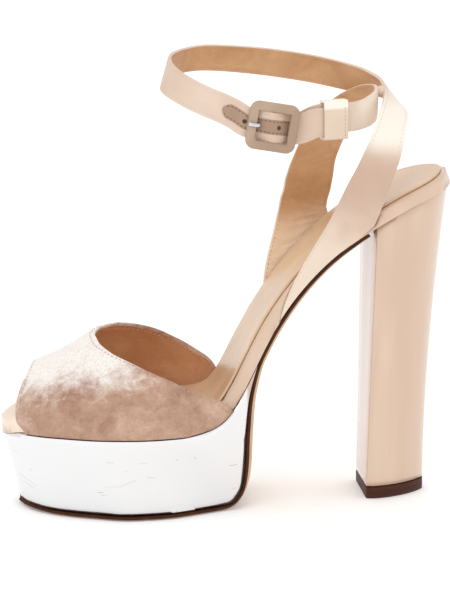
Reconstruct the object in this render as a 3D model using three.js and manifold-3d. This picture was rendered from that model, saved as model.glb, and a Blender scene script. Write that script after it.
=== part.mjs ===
import * as THREE from 'three';
import { mergeVertices } from 'three/addons/utils/BufferGeometryUtils.js';
import Module from 'manifold-3d';

// High-heeled platform sandal for the left foot, in millimetres.
// The toe points to -X, the outer side of the foot lies at -Y, and the floor is z = 0.

const wasm = await Module();
wasm.setup();

// Foot and last
const footLength = 210.5;
const ballWidth = 80.5;
const waistWidth = 44.5;
const seatWidth = 58;
const platformHeight = 38.8;
const seatHeight = 147.8;
const toeDrop = 4.2;
const toeSpring = 1.4;
const vampHeight = 43;

// Walls and layers
const treadThickness = 2.1;
const archThickness = 5.4;
const outsoleEdge = 1.5;
const insoleThickness = 6.2;
const sockThickness = 1.2;
const sockInset = 1.8;
const bedDish = 0.8;
const vampWall = 2;
const strapWall = 1.5;
const fitGap = 0.3;

// Platform block
const platformToeRake = 6.8;
const cornerReach = 11;
const backOverhang = 4.6;
const weltWidth = 1;

// Heel block and its top piece
const heelTipWidth = 36;
const heelTipDepth = 29.6;
const heelTipThickness = 5.5;
const heelTopDepth = 37;
const heelOverhang = 11.4;
const heelInset = 1;

// Ankle straps
const strapWidth = 13.2;
const ringLength = 105;
const ringWidth = 58;
const ringBack = 79.4;
const ankleRise = 56.6;
const footBow = 4;
const tackDepth = 4.4;
const tackHeight = 3;
const tackWidth = 3.4;

// Buckle, keeper and hole patch
const buckleLength = 22.8;
const buckleSide = 4;
const buckleBar = 4.1;
const buckleDepth = 3;
const buckleCorner = 4.2;
const buckleEdge = 0.7;
const buckleTilt = 10.4;
const pivotRadius = 0.9;
const prongWidth = 1.6;
const prongThickness = 1.1;
const keeperWidth = 11.5;
const keeperWall = 1.2;
const keeperSlack = 1.8;
const patchLength = 37;
const patchWidth = 6.6;
const patchStep = 0.5;
const holeRadius = 1.1;
const holePitch = 8;

// Places along the foot, as shares of its length from the toe.
const toeLevelShare = 0.12;
const sockFrontShare = 0.085;
const wedgeShare = 0.556;
const strapFeet = {
  outer: { front: 0.609, back: 0.784 },
  inner: { front: 0.598, back: 0.756 },
};

const vec = (x, y, z) => new THREE.Vector3(x, y, z);
const lerp = THREE.MathUtils.lerp;
const clamp01 = (t) => THREE.MathUtils.clamp(t, 0, 1);
const ramp = (t, a, b) => THREE.MathUtils.smoothstep(t, Math.min(a, b), Math.max(a, b));
const range = (count) => Array.from({ length: count }, (_, i) => i);

// A smooth curve through the rows of a table that never overshoots between two rows.
function curve(keys, values) {
  const last = keys.length - 1;
  const slope = range(last).map((i) => (values[i + 1] - values[i]) / (keys[i + 1] - keys[i]));
  const tangent = keys.map((_, i) => {
    if (i === 0) return slope[0];
    if (i === last) return slope[last - 1];
    const before = slope[i - 1];
    const after = slope[i];
    return before * after <= 0 ? 0 : (2 * before * after) / (before + after);
  });
  return (key) => {
    let i = 0;
    while (i < last - 1 && key > keys[i + 1]) i += 1;
    const span = keys[i + 1] - keys[i];
    const t = clamp01((key - keys[i]) / span);
    const rise = values[i + 1] - values[i];
    const bend = tangent[i] * span * t * (1 - t) ** 2 - tangent[i + 1] * span * t * t * (1 - t);
    return values[i] + rise * t * t * (3 - 2 * t) + bend;
  };
}

// The outline of the shoe at its joint: shares of the length from the toe, and of the named
// width.
const outline = [
  { at: 0, width: ballWidth, outer: -0.05, inner: 0.05 },
  { at: 0.035, width: ballWidth, outer: 0.165, inner: 0.255 },
  { at: 0.077, width: ballWidth, outer: 0.3, inner: 0.35 },
  { at: 0.148, width: ballWidth, outer: 0.415, inner: 0.43 },
  { at: 0.22, width: ballWidth, outer: 0.485, inner: 0.472 },
  { at: 0.305, width: ballWidth, outer: 0.515, inner: 0.485 },
  { at: 0.38, width: ballWidth, outer: 0.49, inner: 0.453 },
  { at: 0.448, width: ballWidth, outer: 0.413, inner: 0.38 },
  { at: 0.524, width: waistWidth, outer: 0.58, inner: 0.54 },
  { at: 0.605, width: waistWidth, outer: 0.515, inner: 0.485 },
  { at: 0.7, width: waistWidth, outer: 0.53, inner: 0.52 },
  { at: 0.795, width: seatWidth, outer: 0.466, inner: 0.462 },
  { at: 0.866, width: seatWidth, outer: 0.5, inner: 0.5 },
  { at: 0.923, width: seatWidth, outer: 0.464, inner: 0.46 },
  { at: 0.966, width: seatWidth, outer: 0.35, inner: 0.345 },
  { at: 1, width: seatWidth, outer: 0, inner: 0 },
];
const roundKey = (at) => Math.acos(1 - 2 * clamp01(at));
const outlineKeys = outline.map((row) => roundKey(row.at));
const outerCurve = curve(outlineKeys, outline.map((row) => row.outer * row.width));
const innerCurve = curve(outlineKeys, outline.map((row) => row.inner * row.width));
const outerLine = (at) => outerCurve(roundKey(at));
const innerLine = (at) => innerCurve(roundKey(at));

// The insole follows that outline, and tucks in behind the wall of the vamp where this stands.
const tuck = (at) => (vampWall + fitGap) * ramp(at, 0.01, 0.035) * (1 - ramp(at, 0.505, 0.55));
const outerEdge = (at) => outerLine(at) - tuck(at);
const innerEdge = (at) => innerLine(at) - tuck(at);

// The height of the joint between the foot bed and what carries it.
const climbRows = [
  { at: 0.395, rise: 0 },
  { at: 0.45, rise: 0.016 },
  { at: 0.49, rise: 0.058 },
  { at: 0.52, rise: 0.137 },
  { at: 0.55, rise: 0.248 },
  { at: 0.6, rise: 0.425 },
  { at: 0.65, rise: 0.562 },
  { at: 0.7, rise: 0.668 },
  { at: 0.75, rise: 0.752 },
  { at: 0.82, rise: 0.846 },
  { at: 0.9, rise: 0.93 },
  { at: 1, rise: 1 },
];
const dropRows = [
  { at: 0, drop: 1 },
  { at: 0.02, drop: 0.6 },
  { at: 0.04, drop: 0.3 },
  { at: 0.065, drop: 0.12 },
  { at: 0.12, drop: 0 },
];
const climb = curve(climbRows.map((row) => row.at), climbRows.map((row) => row.rise));
const drop = curve(dropRows.map((row) => row.at), dropRows.map((row) => row.drop));
const toX = (at) => (at - 0.5) * footLength;
const toAt = (x) => x / footLength + 0.5;
const jointZ = (at) => {
  const rise = (seatHeight - platformHeight) * climb(at);
  return platformHeight - toeDrop * drop(at) + rise;
};

// A point above the joint, measured square to it, or upright at the toe.
function overJoint(at, y, height) {
  const step = 0.004;
  const a = clamp01(Math.max(at, toeLevelShare) - step);
  const b = clamp01(Math.max(at, toeLevelShare) + step);
  const slope = Math.atan2(jointZ(b) - jointZ(a), (b - a) * footLength);
  const x = toX(at) - height * Math.sin(slope);
  return vec(x, y, jointZ(at) + height * Math.cos(slope));
}

// Places along the joint, even along its slope and close together at both round ends.
function stations(from, to, count, roundStart, roundEnd) {
  const fine = 400;
  const lengths = [0];
  for (let i = 1; i <= fine; i += 1) {
    const a = lerp(from, to, (i - 1) / fine);
    const b = lerp(from, to, i / fine);
    lengths.push(lengths[i - 1] + Math.hypot((b - a) * footLength, jointZ(b) - jointZ(a)));
  }
  return range(count + 1).map((i) => {
    let t = i / count;
    if (roundStart && roundEnd) t = (1 - Math.cos(Math.PI * t)) / 2;
    else if (roundStart) t = 1 - Math.cos((Math.PI / 2) * t);
    const goal = t * lengths[fine];
    let k = 1;
    while (k < fine && lengths[k] < goal) k += 1;
    const part = (goal - lengths[k - 1]) / (lengths[k] - lengths[k - 1]);
    return lerp(from, to, (k - 1 + part) / fine);
  });
}

// A closed solid from a list of triangles, turned so that its faces point out.
function solid(points, faces) {
  const raw = new THREE.BufferGeometry();
  const flat = new Float32Array(points.length * 3);
  points.forEach((p, i) => p.toArray(flat, i * 3));
  raw.setAttribute('position', new THREE.BufferAttribute(flat, 3));
  raw.setIndex(faces.flat());
  const merged = mergeVertices(raw, 1e-4);
  const index = merged.index.array;
  const place = merged.attributes.position;
  const kept = [];
  let volume = 0;
  const [a, b, c] = [vec(0, 0, 0), vec(0, 0, 0), vec(0, 0, 0)];
  for (let i = 0; i < index.length; i += 3) {
    const [p, q, r] = [index[i], index[i + 1], index[i + 2]];
    if (p !== q && q !== r && r !== p) {
      kept.push([p, q, r]);
      a.fromBufferAttribute(place, p);
      b.fromBufferAttribute(place, q);
      c.fromBufferAttribute(place, r);
      volume += a.dot(b.cross(c));
    }
  }
  const turned = volume < 0 ? kept.map(([p, q, r]) => [p, r, q]) : kept;
  merged.setIndex(turned.flat());
  return merged;
}

// Skins a row of closed rings. An end is capped from side to side, or is an edge that needs
// no cap.
function loft(rings, { startCap = true, endCap = true } = {}) {
  const size = rings[0].length;
  const points = rings.flat();
  const faces = [];
  for (let i = 0; i + 1 < rings.length; i += 1) {
    const next = (i + 1) * size;
    for (let j = 0; j < size; j += 1) {
      const k = (j + 1) % size;
      faces.push([i * size + j, i * size + k, next + k], [i * size + j, next + k, next + j]);
    }
  }
  const cap = (first, flip) => {
    for (let j = 0; j + 1 < size / 2; j += 1) {
      const corners = [j, j + 1, size - 2 - j, size - 1 - j].map((k) => first + k);
      const [a, b, c, d] = flip ? corners : corners.reverse();
      faces.push([a, b, c], [a, c, d]);
    }
  };
  if (startCap) cap(0, false);
  if (endCap) cap((rings.length - 1) * size, true);
  return solid(points, faces);
}

// A sheet with a wall: two grids of points, closed round their border.
function sheet(outside, inside) {
  const [rows, columns] = [outside.length, outside[0].length];
  const points = [...outside.flat(), ...inside.flat()];
  const id = (i, j, side) => side * rows * columns + i * columns + j;
  const faces = [];
  const quad = (a, b, c, d) => faces.push([a, b, c], [a, c, d]);
  for (let i = 0; i + 1 < rows; i += 1) {
    for (let j = 0; j + 1 < columns; j += 1) {
      quad(id(i, j, 0), id(i, j + 1, 0), id(i + 1, j + 1, 0), id(i + 1, j, 0));
      quad(id(i, j, 1), id(i + 1, j, 1), id(i + 1, j + 1, 1), id(i, j + 1, 1));
    }
    const end = columns - 1;
    quad(id(i, 0, 0), id(i + 1, 0, 0), id(i + 1, 0, 1), id(i, 0, 1));
    quad(id(i, end, 0), id(i, end, 1), id(i + 1, end, 1), id(i + 1, end, 0));
  }
  for (let j = 0; j + 1 < columns; j += 1) {
    const end = rows - 1;
    quad(id(0, j, 0), id(0, j, 1), id(0, j + 1, 1), id(0, j + 1, 0));
    quad(id(end, j, 0), id(end, j + 1, 0), id(end, j + 1, 1), id(end, j, 1));
  }
  return solid(points, faces);
}

function toManifold(geometry) {
  const bare = geometry.clone();
  bare.deleteAttribute('normal');
  bare.deleteAttribute('uv');
  const merged = mergeVertices(bare, 1e-4);
  const vertProperties = Float32Array.from(merged.attributes.position.array);
  const triVerts = Uint32Array.from(merged.index.array);
  return new wasm.Manifold(new wasm.Mesh({ numProp: 3, vertProperties, triVerts }));
}

function fromManifold(body) {
  const mesh = body.getMesh();
  const geometry = new THREE.BufferGeometry();
  geometry.setAttribute('position', new THREE.BufferAttribute(mesh.vertProperties, 3));
  geometry.setIndex(Array.from(mesh.triVerts));
  return geometry;
}

// The platform stands out a little beyond the vamp.
const welt = (at) => weltWidth * ramp(at, 0, 0.045) * (1 - ramp(at, 0.505, 0.55));

// The top of the foot bed, slightly dished, from one edge of the sock lining to the other.
const bedShares = [0, 0.25, 0.5, 0.75, 1];
const endInset = sockInset / footLength;
function bedRow(at, height) {
  const half = (outerEdge(at) + innerEdge(at)) / 2;
  const inset = Math.min(sockInset, half);
  const place = lerp(endInset, 1 - endInset, at);
  return bedShares.map((share) => {
    const sag = bedDish * Math.sin(Math.PI * share) * clamp01(half / waistWidth);
    const y = lerp(inset - outerEdge(at), innerEdge(at) - inset, share);
    return overJoint(place, y, insoleThickness + height - sag);
  });
}

// Insole: a wrapped board with a round upper edge, raised level with the sock lining in front
// of it.
const noseLift = (at) => (
  (fitGap + sockThickness) * (1 - ramp(at, sockFrontShare / 2, sockFrontShare)));
function insoleRing(at) {
  const half = (outerEdge(at) + innerEdge(at)) / 2;
  const top = insoleThickness + noseLift(at);
  const shoulder = sockInset * 0.9;
  const soft = Math.min(sockInset * 0.3, half);
  const a = -outerEdge(at);
  const b = innerEdge(at);
  const side = (y, height) => overJoint(at, y, height);
  return [
    side(a, 0),
    side(a, top - shoulder),
    side(a + soft, top - soft),
    ...bedRow(at, noseLift(at)),
    side(b - soft, top - soft),
    side(b, top - shoulder),
    side(b, 0),
  ];
}
const bedStations = stations(0, 1, 42, true, true);
const edges = { startCap: false, endCap: false };
const insoleBlank = loft(bedStations.map(insoleRing), edges);

// Sock lining: a thin sheet on the insole, set in from its edge, that starts under the vamp.
const sockStations = bedStations.slice(0, -1).filter((at) => at > sockFrontShare);
const sockLining = sheet(
  sockStations.map((at) => bedRow(at, fitGap + sockThickness)),
  sockStations.map((at) => bedRow(at, fitGap)),
);

// The line under the platform: along the floor, round its back corner and up its back, to the
// place under the arch where the platform runs out in a thin wedge.
const wedgeTip = overJoint(wedgeShare, 0, -fitGap);
const floorTop = treadThickness + fitGap;
const backX = toX(0.5) + backOverhang;
const treadLine = new THREE.CatmullRomCurve3([
  vec(toX(0) + platformToeRake, 0, floorTop + toeSpring),
  vec(toX(0.1), 0, floorTop + toeSpring * 0.12),
  vec(toX(0.2), 0, floorTop),
  vec(toX(0.35), 0, floorTop),
  vec(backX - cornerReach, 0, floorTop),
  vec(backX - cornerReach * 0.32, 0, floorTop + cornerReach * 0.16),
  vec(backX, 0, floorTop + cornerReach),
  vec(lerp(backX, wedgeTip.x, 0.22), 0, lerp(floorTop, wedgeTip.z, 0.5)),
  vec(lerp(backX, wedgeTip.x, 0.5), 0, lerp(floorTop, wedgeTip.z, 0.8)),
  wedgeTip,
], false, 'centripetal');

const treadPoint = (t) => {
  const point = treadLine.getPointAt(t);
  return point.setZ(Math.max(point.z, floorTop));
};

// Half widths under the platform, as shares of the ball width, at shares of that line.
const treadRows = [
  { t: 0, outer: -0.04, inner: 0.04 },
  { t: 0.035, outer: 0.16, inner: 0.22 },
  { t: 0.1, outer: 0.29, inner: 0.33 },
  { t: 0.2, outer: 0.405, inner: 0.415 },
  { t: 0.31, outer: 0.485, inner: 0.46 },
  { t: 0.4, outer: 0.475, inner: 0.445 },
  { t: 0.5, outer: 0.4, inner: 0.37 },
  { t: 0.58, outer: 0.335, inner: 0.315 },
  { t: 0.68, outer: 0.31, inner: 0.295 },
  { t: 1, outer: 0.29, inner: 0.275 },
];
const treadKeys = treadRows.map((row) => Math.sqrt(row.t));
const treadOuter = curve(treadKeys, treadRows.map((row) => row.outer * ballWidth));
const treadInner = curve(treadKeys, treadRows.map((row) => row.inner * ballWidth));
function treadHalves(t) {
  const meet = ramp(t, 0.6, 1);
  const outer = lerp(treadOuter(Math.sqrt(t)), outerEdge(wedgeShare), meet);
  const inner = lerp(treadInner(Math.sqrt(t)), innerEdge(wedgeShare), meet);
  return { outer, inner };
}
const treadShare = (t) => 0.55 * t * t + 0.45 * t;

// Platform: from the joint down to the tread line, its sides raked in towards the floor.
function platformRing(t) {
  const at = wedgeShare * lerp(1 - Math.cos((Math.PI / 2) * t), t, t);
  const low = treadPoint(treadShare(t));
  const halves = treadHalves(treadShare(t));
  const topOuter = lerp(outerLine(at) + welt(at), outerLine(wedgeShare), ramp(t, 0.9, 1));
  const topInner = lerp(innerLine(at) + welt(at), innerLine(wedgeShare), ramp(t, 0.9, 1));
  const high = overJoint(at, 0, -fitGap);
  const place = (down, share) => {
    const outer = lerp(topOuter, halves.outer, down);
    const inner = lerp(topInner, halves.inner, down);
    return vec(lerp(high.x, low.x, down), lerp(-outer, inner, share), lerp(high.z, low.z, down));
  };
  const down = [0, 0.33, 0.67, 1];
  return [
    ...down.map((f) => place(f, 0)),
    place(1, 0.33),
    place(1, 0.67),
    ...down.map((f) => place(1 - f, 1)),
    place(0, 0.67),
    place(0, 0.33),
  ];
}
const platformSteps = 34;
const platformRings = range(platformSteps + 1).map((i) => platformRing(i / platformSteps));
const platform = loft(platformRings, edges);

// Where the heel block stands, front and back, at its top and at its foot.
const heelBackTop = toX(1) - heelInset;
const heelFrontTop = heelBackTop - heelTopDepth;
const heelBackFoot = heelBackTop - heelOverhang;
const heelFrontFoot = heelBackFoot - heelTipDepth;

// Outsole: one strip of leather under the platform, up its back and on under the arch to the
// breast of the heel, thin at its edge and crowned underneath.
function outsoleRing(centre, along, outer, inner, arched) {
  const down = vec(along.z, 0, -along.x);
  const crown = lerp(treadThickness, archThickness, arched) - outsoleEdge;
  const place = (share, depth) => {
    const point = centre.clone().addScaledVector(down, depth);
    point.y = lerp(-outer, inner, share);
    return point;
  };
  const full = fitGap + outsoleEdge + crown;
  const near = full - crown * 0.45 * arched;
  return [
    place(0, fitGap),
    place(0.5, fitGap),
    place(1, fitGap),
    place(1, fitGap + outsoleEdge),
    place(0.9, near),
    place(0.5, full),
    place(0.1, near),
    place(0, fitGap + outsoleEdge),
  ];
}
const treadRings = range(platformSteps).map((i) => {
  const t = treadShare(i / platformSteps);
  const halves = treadHalves(t);
  const centre = treadPoint(t);
  const along = centre.z > floorTop ? treadLine.getTangentAt(Math.max(t, 0.002)) : vec(1, 0, 0);
  const arched = ramp(centre.z - floorTop, cornerReach * 0.1, cornerReach);
  return outsoleRing(centre, along, halves.outer, halves.inner, arched);
});
const breastAt = toAt(heelFrontTop - fitGap - archThickness * 0.7);
const archRings = stations(wedgeShare, breastAt, 14, false, false).map((at) => {
  const here = overJoint(at, 0, 0);
  const along = overJoint(at + 0.004, 0, 0).sub(overJoint(at - 0.004, 0, 0)).normalize();
  const arched = lerp(1, 0.45, ramp(at, 0.62, breastAt));
  return outsoleRing(here, along, outerEdge(at), innerEdge(at), arched);
});
const outsole = loft([...treadRings, ...archRings], { startCap: false });

// Heel: a block with a flat breast and a round back, flared out to the seat above.
const heelDepths = [0, 0.03, 0.15, 0.3, 0.45, 0.6, 0.73, 0.84, 0.92, 0.97, 1];
const heelSide = (share) => {
  const corner = 0.93 + 0.07 * ramp(share, 0, 0.15);
  return corner * Math.max(1 - share ** 2, 0) ** 0.72;
};
function heelRing(lift, foot) {
  const place = (share, side) => {
    const at = lerp(toAt(heelFrontTop), 1, share);
    const top = {
      x: lerp(heelFrontTop, heelBackTop, share),
      y: (side < 0 ? -outerEdge(at) : innerEdge(at)) * (0.95 + 0.03 * ramp(share, 0, 0.15)),
    };
    const low = {
      x: lerp(heelFrontFoot, heelBackFoot, share),
      y: side * (heelTipWidth / 2) * heelSide(share),
    };
    const lean = lift ** lerp(1, 1.65, share);
    const x = lerp(low.x, top.x, lean);
    const z = lerp(foot, jointZ(toAt(top.x)) - fitGap, lift);
    return vec(x, lerp(low.y, top.y, lift ** 1.5), z);
  };
  return [
    ...heelDepths.map((share) => place(share, -1)),
    ...heelDepths.slice().reverse().map((share) => place(share, 1)),
  ];
}
const heelLifts = [0, 0.12, 0.25, 0.4, 0.55, 0.68, 0.8, 0.9, 1];
const heel = loft(heelLifts.map((lift) => heelRing(lift, heelTipThickness + fitGap)));
const atFloor = (ring, z) => ring.map((point) => vec(point.x, point.y, z));
const heelFoot = heelRing(0, 0);
const heelTip = loft([atFloor(heelFoot, 0), atFloor(heelFoot, heelTipThickness)]);

// Vamp: the skin of the last over the ball of the foot, from the peep toe back to the topline.
const heightRows = [
  { at: 0, height: 0.46 },
  { at: 0.03, height: 0.55 },
  { at: 0.07, height: 0.64 },
  { at: 0.115, height: 0.71 },
  { at: 0.155, height: 0.79 },
  { at: 0.195, height: 0.9 },
  { at: 0.225, height: 0.97 },
  { at: 0.27, height: 1 },
  { at: 0.34, height: 0.97 },
  { at: 0.4, height: 0.9 },
  { at: 0.46, height: 0.8 },
  { at: 0.53, height: 0.68 },
];
const lastHeight = curve(heightRows.map((r) => r.at), heightRows.map((r) => r.height * vampHeight));
// Where the vamp starts and ends, going round it from the outer side to the inner side.
const rimRows = [
  { round: 0, front: 0.0465, back: 0.5 },
  { round: 0.04, front: 0.03, back: 0.485 },
  { round: 0.08, front: 0.0275, back: 0.464 },
  { round: 0.15, front: 0.028, back: 0.394 },
  { round: 0.22, front: 0.0335, back: 0.3065 },
  { round: 0.3, front: 0.043, back: 0.24 },
  { round: 0.38, front: 0.053, back: 0.2155 },
  { round: 0.47, front: 0.062, back: 0.2105 },
  { round: 0.53, front: 0.066, back: 0.223 },
  { round: 0.6, front: 0.068, back: 0.286 },
  { round: 0.66, front: 0.068, back: 0.345 },
  { round: 0.75, front: 0.064, back: 0.42 },
  { round: 0.84, front: 0.056, back: 0.468 },
  { round: 0.92, front: 0.054, back: 0.489 },
  { round: 1, front: 0.058, back: 0.5 },
];
const rimKeys = rimRows.map((row) => row.round);
const peepRim = curve(rimKeys, rimRows.map((row) => row.front));
const topRim = curve(rimKeys, rimRows.map((row) => row.back));
const ridgeShift = 0.1 * ballWidth;
function lastSkin(at, round) {
  const angle = Math.PI * round;
  const [outer, inner] = [outerLine(at), innerLine(at)];
  const lift = Math.sin(angle);
  const y = (inner - outer) / 2 - ((inner + outer) / 2) * Math.cos(angle);
  return vec(toX(at), y + ridgeShift * lift ** 2, jointZ(at) + lastHeight(at) * lift ** 0.75);
}
function skinNormal(at, round) {
  const step = 0.004;
  const a = Math.max(round - step, 0);
  const b = Math.min(round + step, 1);
  const across = lastSkin(at, b).sub(lastSkin(at, a));
  const along = lastSkin(at + step, round).sub(lastSkin(at - step, round));
  return along.cross(across).normalize().negate();
}
const vampRows = 15;
const vampColumns = 26;
const vampAt = (i, j) => {
  const round = j / vampColumns;
  return { at: lerp(peepRim(round), topRim(round), i / vampRows), round };
};
const vampGrid = (depth) => range(vampRows + 1).map((i) => range(vampColumns + 1).map((j) => {
  const { at, round } = vampAt(i, j);
  const point = lastSkin(at, round);
  const lift = Math.sin(Math.PI * round);
  const normal = skinNormal(at, round).multiply(vec(lift, 1, lift)).normalize();
  return point.addScaledVector(normal, -depth);
}));
const vamp = sheet(vampGrid(0), vampGrid(vampWall));

// Ankle straps are thin sheets along a path; each place on it has a width and a lean outwards.
const ringPlace = (row) => ({
  centre: vec(
    ringBack - row.back * ringLength,
    row.side * ringWidth,
    seatHeight + row.up * ankleRise,
  ),
  wide: row.wide * strapWidth,
  lean: row.lean,
});

// Buckle: its own axes run back along the strap, up across it, and out from it.
const tilt = THREE.MathUtils.degToRad(buckleTilt);
const buckleAxes = {
  centre: ringPlace({ back: 0.573, side: -0.505, up: 0.55, wide: 1, lean: 0 }).centre,
  along: vec(Math.cos(tilt), 0, -Math.sin(tilt)),
  across: vec(Math.sin(tilt), 0, Math.cos(tilt)),
  out: vec(0, -1, 0),
};
const inAxes = (axes, along, across, out) => axes.centre.clone()
  .addScaledVector(axes.along, along)
  .addScaledVector(axes.across, across)
  .addScaledVector(axes.out, out);
const toAxes = (geometry, axes) => geometry.applyMatrix4(
  new THREE.Matrix4().makeBasis(axes.along, axes.across, axes.out).setPosition(axes.centre),
);
const underBar = -buckleDepth / 2 - fitGap - patchStep - strapWall / 2;
const pivotDepth = -strapWall / 2 - 2 * fitGap - strapWall - pivotRadius;
const sideBar = (buckleLength - buckleSide) / 2;

// Keeper: square to the straps behind the buckle, with both of them through it.
const keeperYaw = THREE.MathUtils.degToRad(15);
const keeperAxes = {
  centre: ringPlace({ back: 0.3, side: -0.41, up: 0.567, wide: 1, lean: 0 }).centre,
  along: vec(Math.cos(keeperYaw), Math.sin(keeperYaw), 0),
  across: vec(0, 0, 1),
  out: vec(Math.sin(keeperYaw), -Math.cos(keeperYaw), 0),
};
const layer = (strapWall + fitGap) / 2;
const flatPlace = (axes, along, out, up = 0) => ({
  centre: inAxes(axes, along, up, out),
  wide: strapWidth,
  lean: 0,
});

// The long strap: up the outer side, round the back of the ankle, the inner side and the front,
// to the buckle. Places are shares of the ankle ring, its width and its rise over the seat.
const longRows = [
  { back: 0.211, side: -0.462, up: -0.203, wide: 1.45, lean: 1 },
  { back: 0.166, side: -0.474, up: -0.016, wide: 1.40, lean: 10 },
  { back: 0.129, side: -0.479, up: 0.134, wide: 1.30, lean: 20 },
  { back: 0.091, side: -0.462, up: 0.292, wide: 1.23, lean: 40 },
  { back: 0.061, side: -0.414, up: 0.428, wide: 1.11, lean: 58 },
  { back: 0.032, side: -0.319, up: 0.558, wide: 1.04, lean: 62 },
  { back: 0.006, side: -0.147, up: 0.629, wide: 1.03, lean: 54 },
  { back: 0.002, side: 0.043, up: 0.687, wide: 1.03, lean: 43 },
  { back: 0.023, side: 0.172, up: 0.733, wide: 1.03, lean: 37 },
  { back: 0.077, side: 0.284, up: 0.770, wide: 1.02, lean: 30 },
  { back: 0.154, side: 0.362, up: 0.806, wide: 1.03, lean: 20 },
  { back: 0.319, side: 0.457, up: 0.875, wide: 1.03, lean: 16 },
  { back: 0.531, side: 0.500, up: 0.942, wide: 1.01, lean: 16 },
  { back: 0.739, side: 0.479, up: 0.986, wide: 0.98, lean: 19 },
  { back: 0.831, side: 0.422, up: 1.000, wide: 0.97, lean: 20 },
  { back: 0.897, side: 0.345, up: 0.996, wide: 0.95, lean: 20 },
  { back: 0.955, side: 0.216, up: 0.984, wide: 0.97, lean: 17 },
  { back: 0.997, side: 0.043, up: 0.963, wide: 0.98, lean: 16 },
  { back: 1.005, side: -0.112, up: 0.920, wide: 1.00, lean: 21 },
  { back: 0.975, side: -0.241, up: 0.871, wide: 1.00, lean: 26 },
  { back: 0.918, side: -0.336, up: 0.811, wide: 1.00, lean: 24 },
  { back: 0.851, side: -0.397, up: 0.753, wide: 1.00, lean: 19 },
  { back: 0.780, side: -0.434, up: 0.698, wide: 1.00, lean: 12 },
  { back: 0.723, side: -0.445, up: 0.641, wide: 1.00, lean: 4 },
];
// The short strap: up the inner side, round in a tight turn and forward to the buckle.
const shortRows = [
  { back: 0.373, side: 0.449, up: -0.239, wide: 1.88, lean: 0 },
  { back: 0.353, side: 0.462, up: -0.102, wide: 1.79, lean: 0 },
  { back: 0.333, side: 0.468, up: 0.030, wide: 1.63, lean: 2 },
  { back: 0.311, side: 0.466, up: 0.163, wide: 1.44, lean: 4 },
  { back: 0.285, side: 0.453, up: 0.281, wide: 1.38, lean: 6 },
  { back: 0.240, side: 0.405, up: 0.431, wide: 1.25, lean: 10 },
  { back: 0.194, side: 0.319, up: 0.544, wide: 1.14, lean: 14 },
  { back: 0.149, side: 0.216, up: 0.622, wide: 1.06, lean: 18 },
  { back: 0.109, side: 0.107, up: 0.668, wide: 1.03, lean: 14 },
  { back: 0.081, side: 0.010, up: 0.675, wide: 1.02, lean: 4 },
  { back: 0.090, side: -0.091, up: 0.645, wide: 1.00, lean: -4 },
  { back: 0.131, side: -0.186, up: 0.604, wide: 1.00, lean: 0 },
  { back: 0.189, side: -0.269, up: 0.585, wide: 1.00, lean: 0 },
];
const longPlaces = [
  ...longRows.map(ringPlace),
  flatPlace(buckleAxes, -sideBar - buckleSide / 2, underBar),
  flatPlace(buckleAxes, buckleSide / 2 - sideBar, underBar),
  flatPlace(buckleAxes, -sideBar * 0.4, underBar * 0.35),
  flatPlace(buckleAxes, 0, 0),
  flatPlace(buckleAxes, sideBar * 0.4, underBar * 0.35),
  flatPlace(buckleAxes, sideBar - buckleSide / 2, underBar),
  flatPlace(buckleAxes, sideBar + buckleSide / 2, underBar),
  flatPlace(keeperAxes, -keeperWidth * 0.8, layer),
  flatPlace(keeperAxes, -keeperWidth * 0.45, layer),
  flatPlace(keeperAxes, -keeperWidth * 0.1, layer),
  flatPlace(keeperAxes, keeperWidth * 0.3, layer),
];
// The short strap runs a little higher than the long one through the keeper.
const shortRise = keeperSlack * 0.8;
const shortPlaces = [
  ...shortRows.map(ringPlace),
  flatPlace(keeperAxes, keeperWidth * 0.65, -layer, shortRise),
  flatPlace(keeperAxes, keeperWidth * 0.3, -layer, shortRise),
  flatPlace(keeperAxes, -keeperWidth * 0.3, -layer, shortRise),
  flatPlace(keeperAxes, -keeperWidth * 0.65, -layer, shortRise),
  flatPlace(buckleAxes, buckleLength / 2, pivotDepth - pivotRadius - fitGap - strapWall / 2),
  flatPlace(buckleAxes, 0, pivotDepth - pivotRadius - fitGap - strapWall / 2),
];

// A strap as rows of points across it. It starts from its foot along the edge of the insole.
function strapPath(places, footPoint, turn) {
  const path = new THREE.CatmullRomCurve3(places.map((place) => place.centre), false, 'centripetal');
  const keys = places.map((_, i) => i / (places.length - 1));
  const wide = curve(keys, places.map((place) => place.wide));
  const lean = curve(keys, places.map((place) => place.lean));
  const across = (t, share) => {
    const along = path.getTangent(t);
    const out = vec(along.y * turn, -along.x * turn, 0).normalize();
    const down = vec(0, 0, -1).addScaledVector(along, along.z).normalize();
    const angle = THREE.MathUtils.degToRad(lean(t));
    const aside = down.multiplyScalar(Math.cos(angle)).addScaledVector(out, Math.sin(angle));
    return path.getPoint(t).addScaledVector(aside, (share - 0.5) * wide(t));
  };
  const fromFoot = (rise, share) => {
    const low = footPoint(share);
    const high = across(0, share);
    const bow = footBow * 4 * rise * Math.max(1 - rise, 0) * (1 - rise) * (1 - share) ** 2;
    return low.lerp(high, rise).add(vec(-bow, 0, 0));
  };
  return { path, across, fromFoot };
}
const footOf = (edge, side, foot) => (share) => {
  const at = lerp(foot.front, foot.back, share);
  return overJoint(at, side * (edge(at) - strapWall / 2), fitGap);
};
const longStrap = strapPath(longPlaces, footOf(outerEdge, -1, strapFeet.outer), 1);
const shortStrap = strapPath(shortPlaces, footOf(innerEdge, 1, strapFeet.inner), -1);

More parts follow.
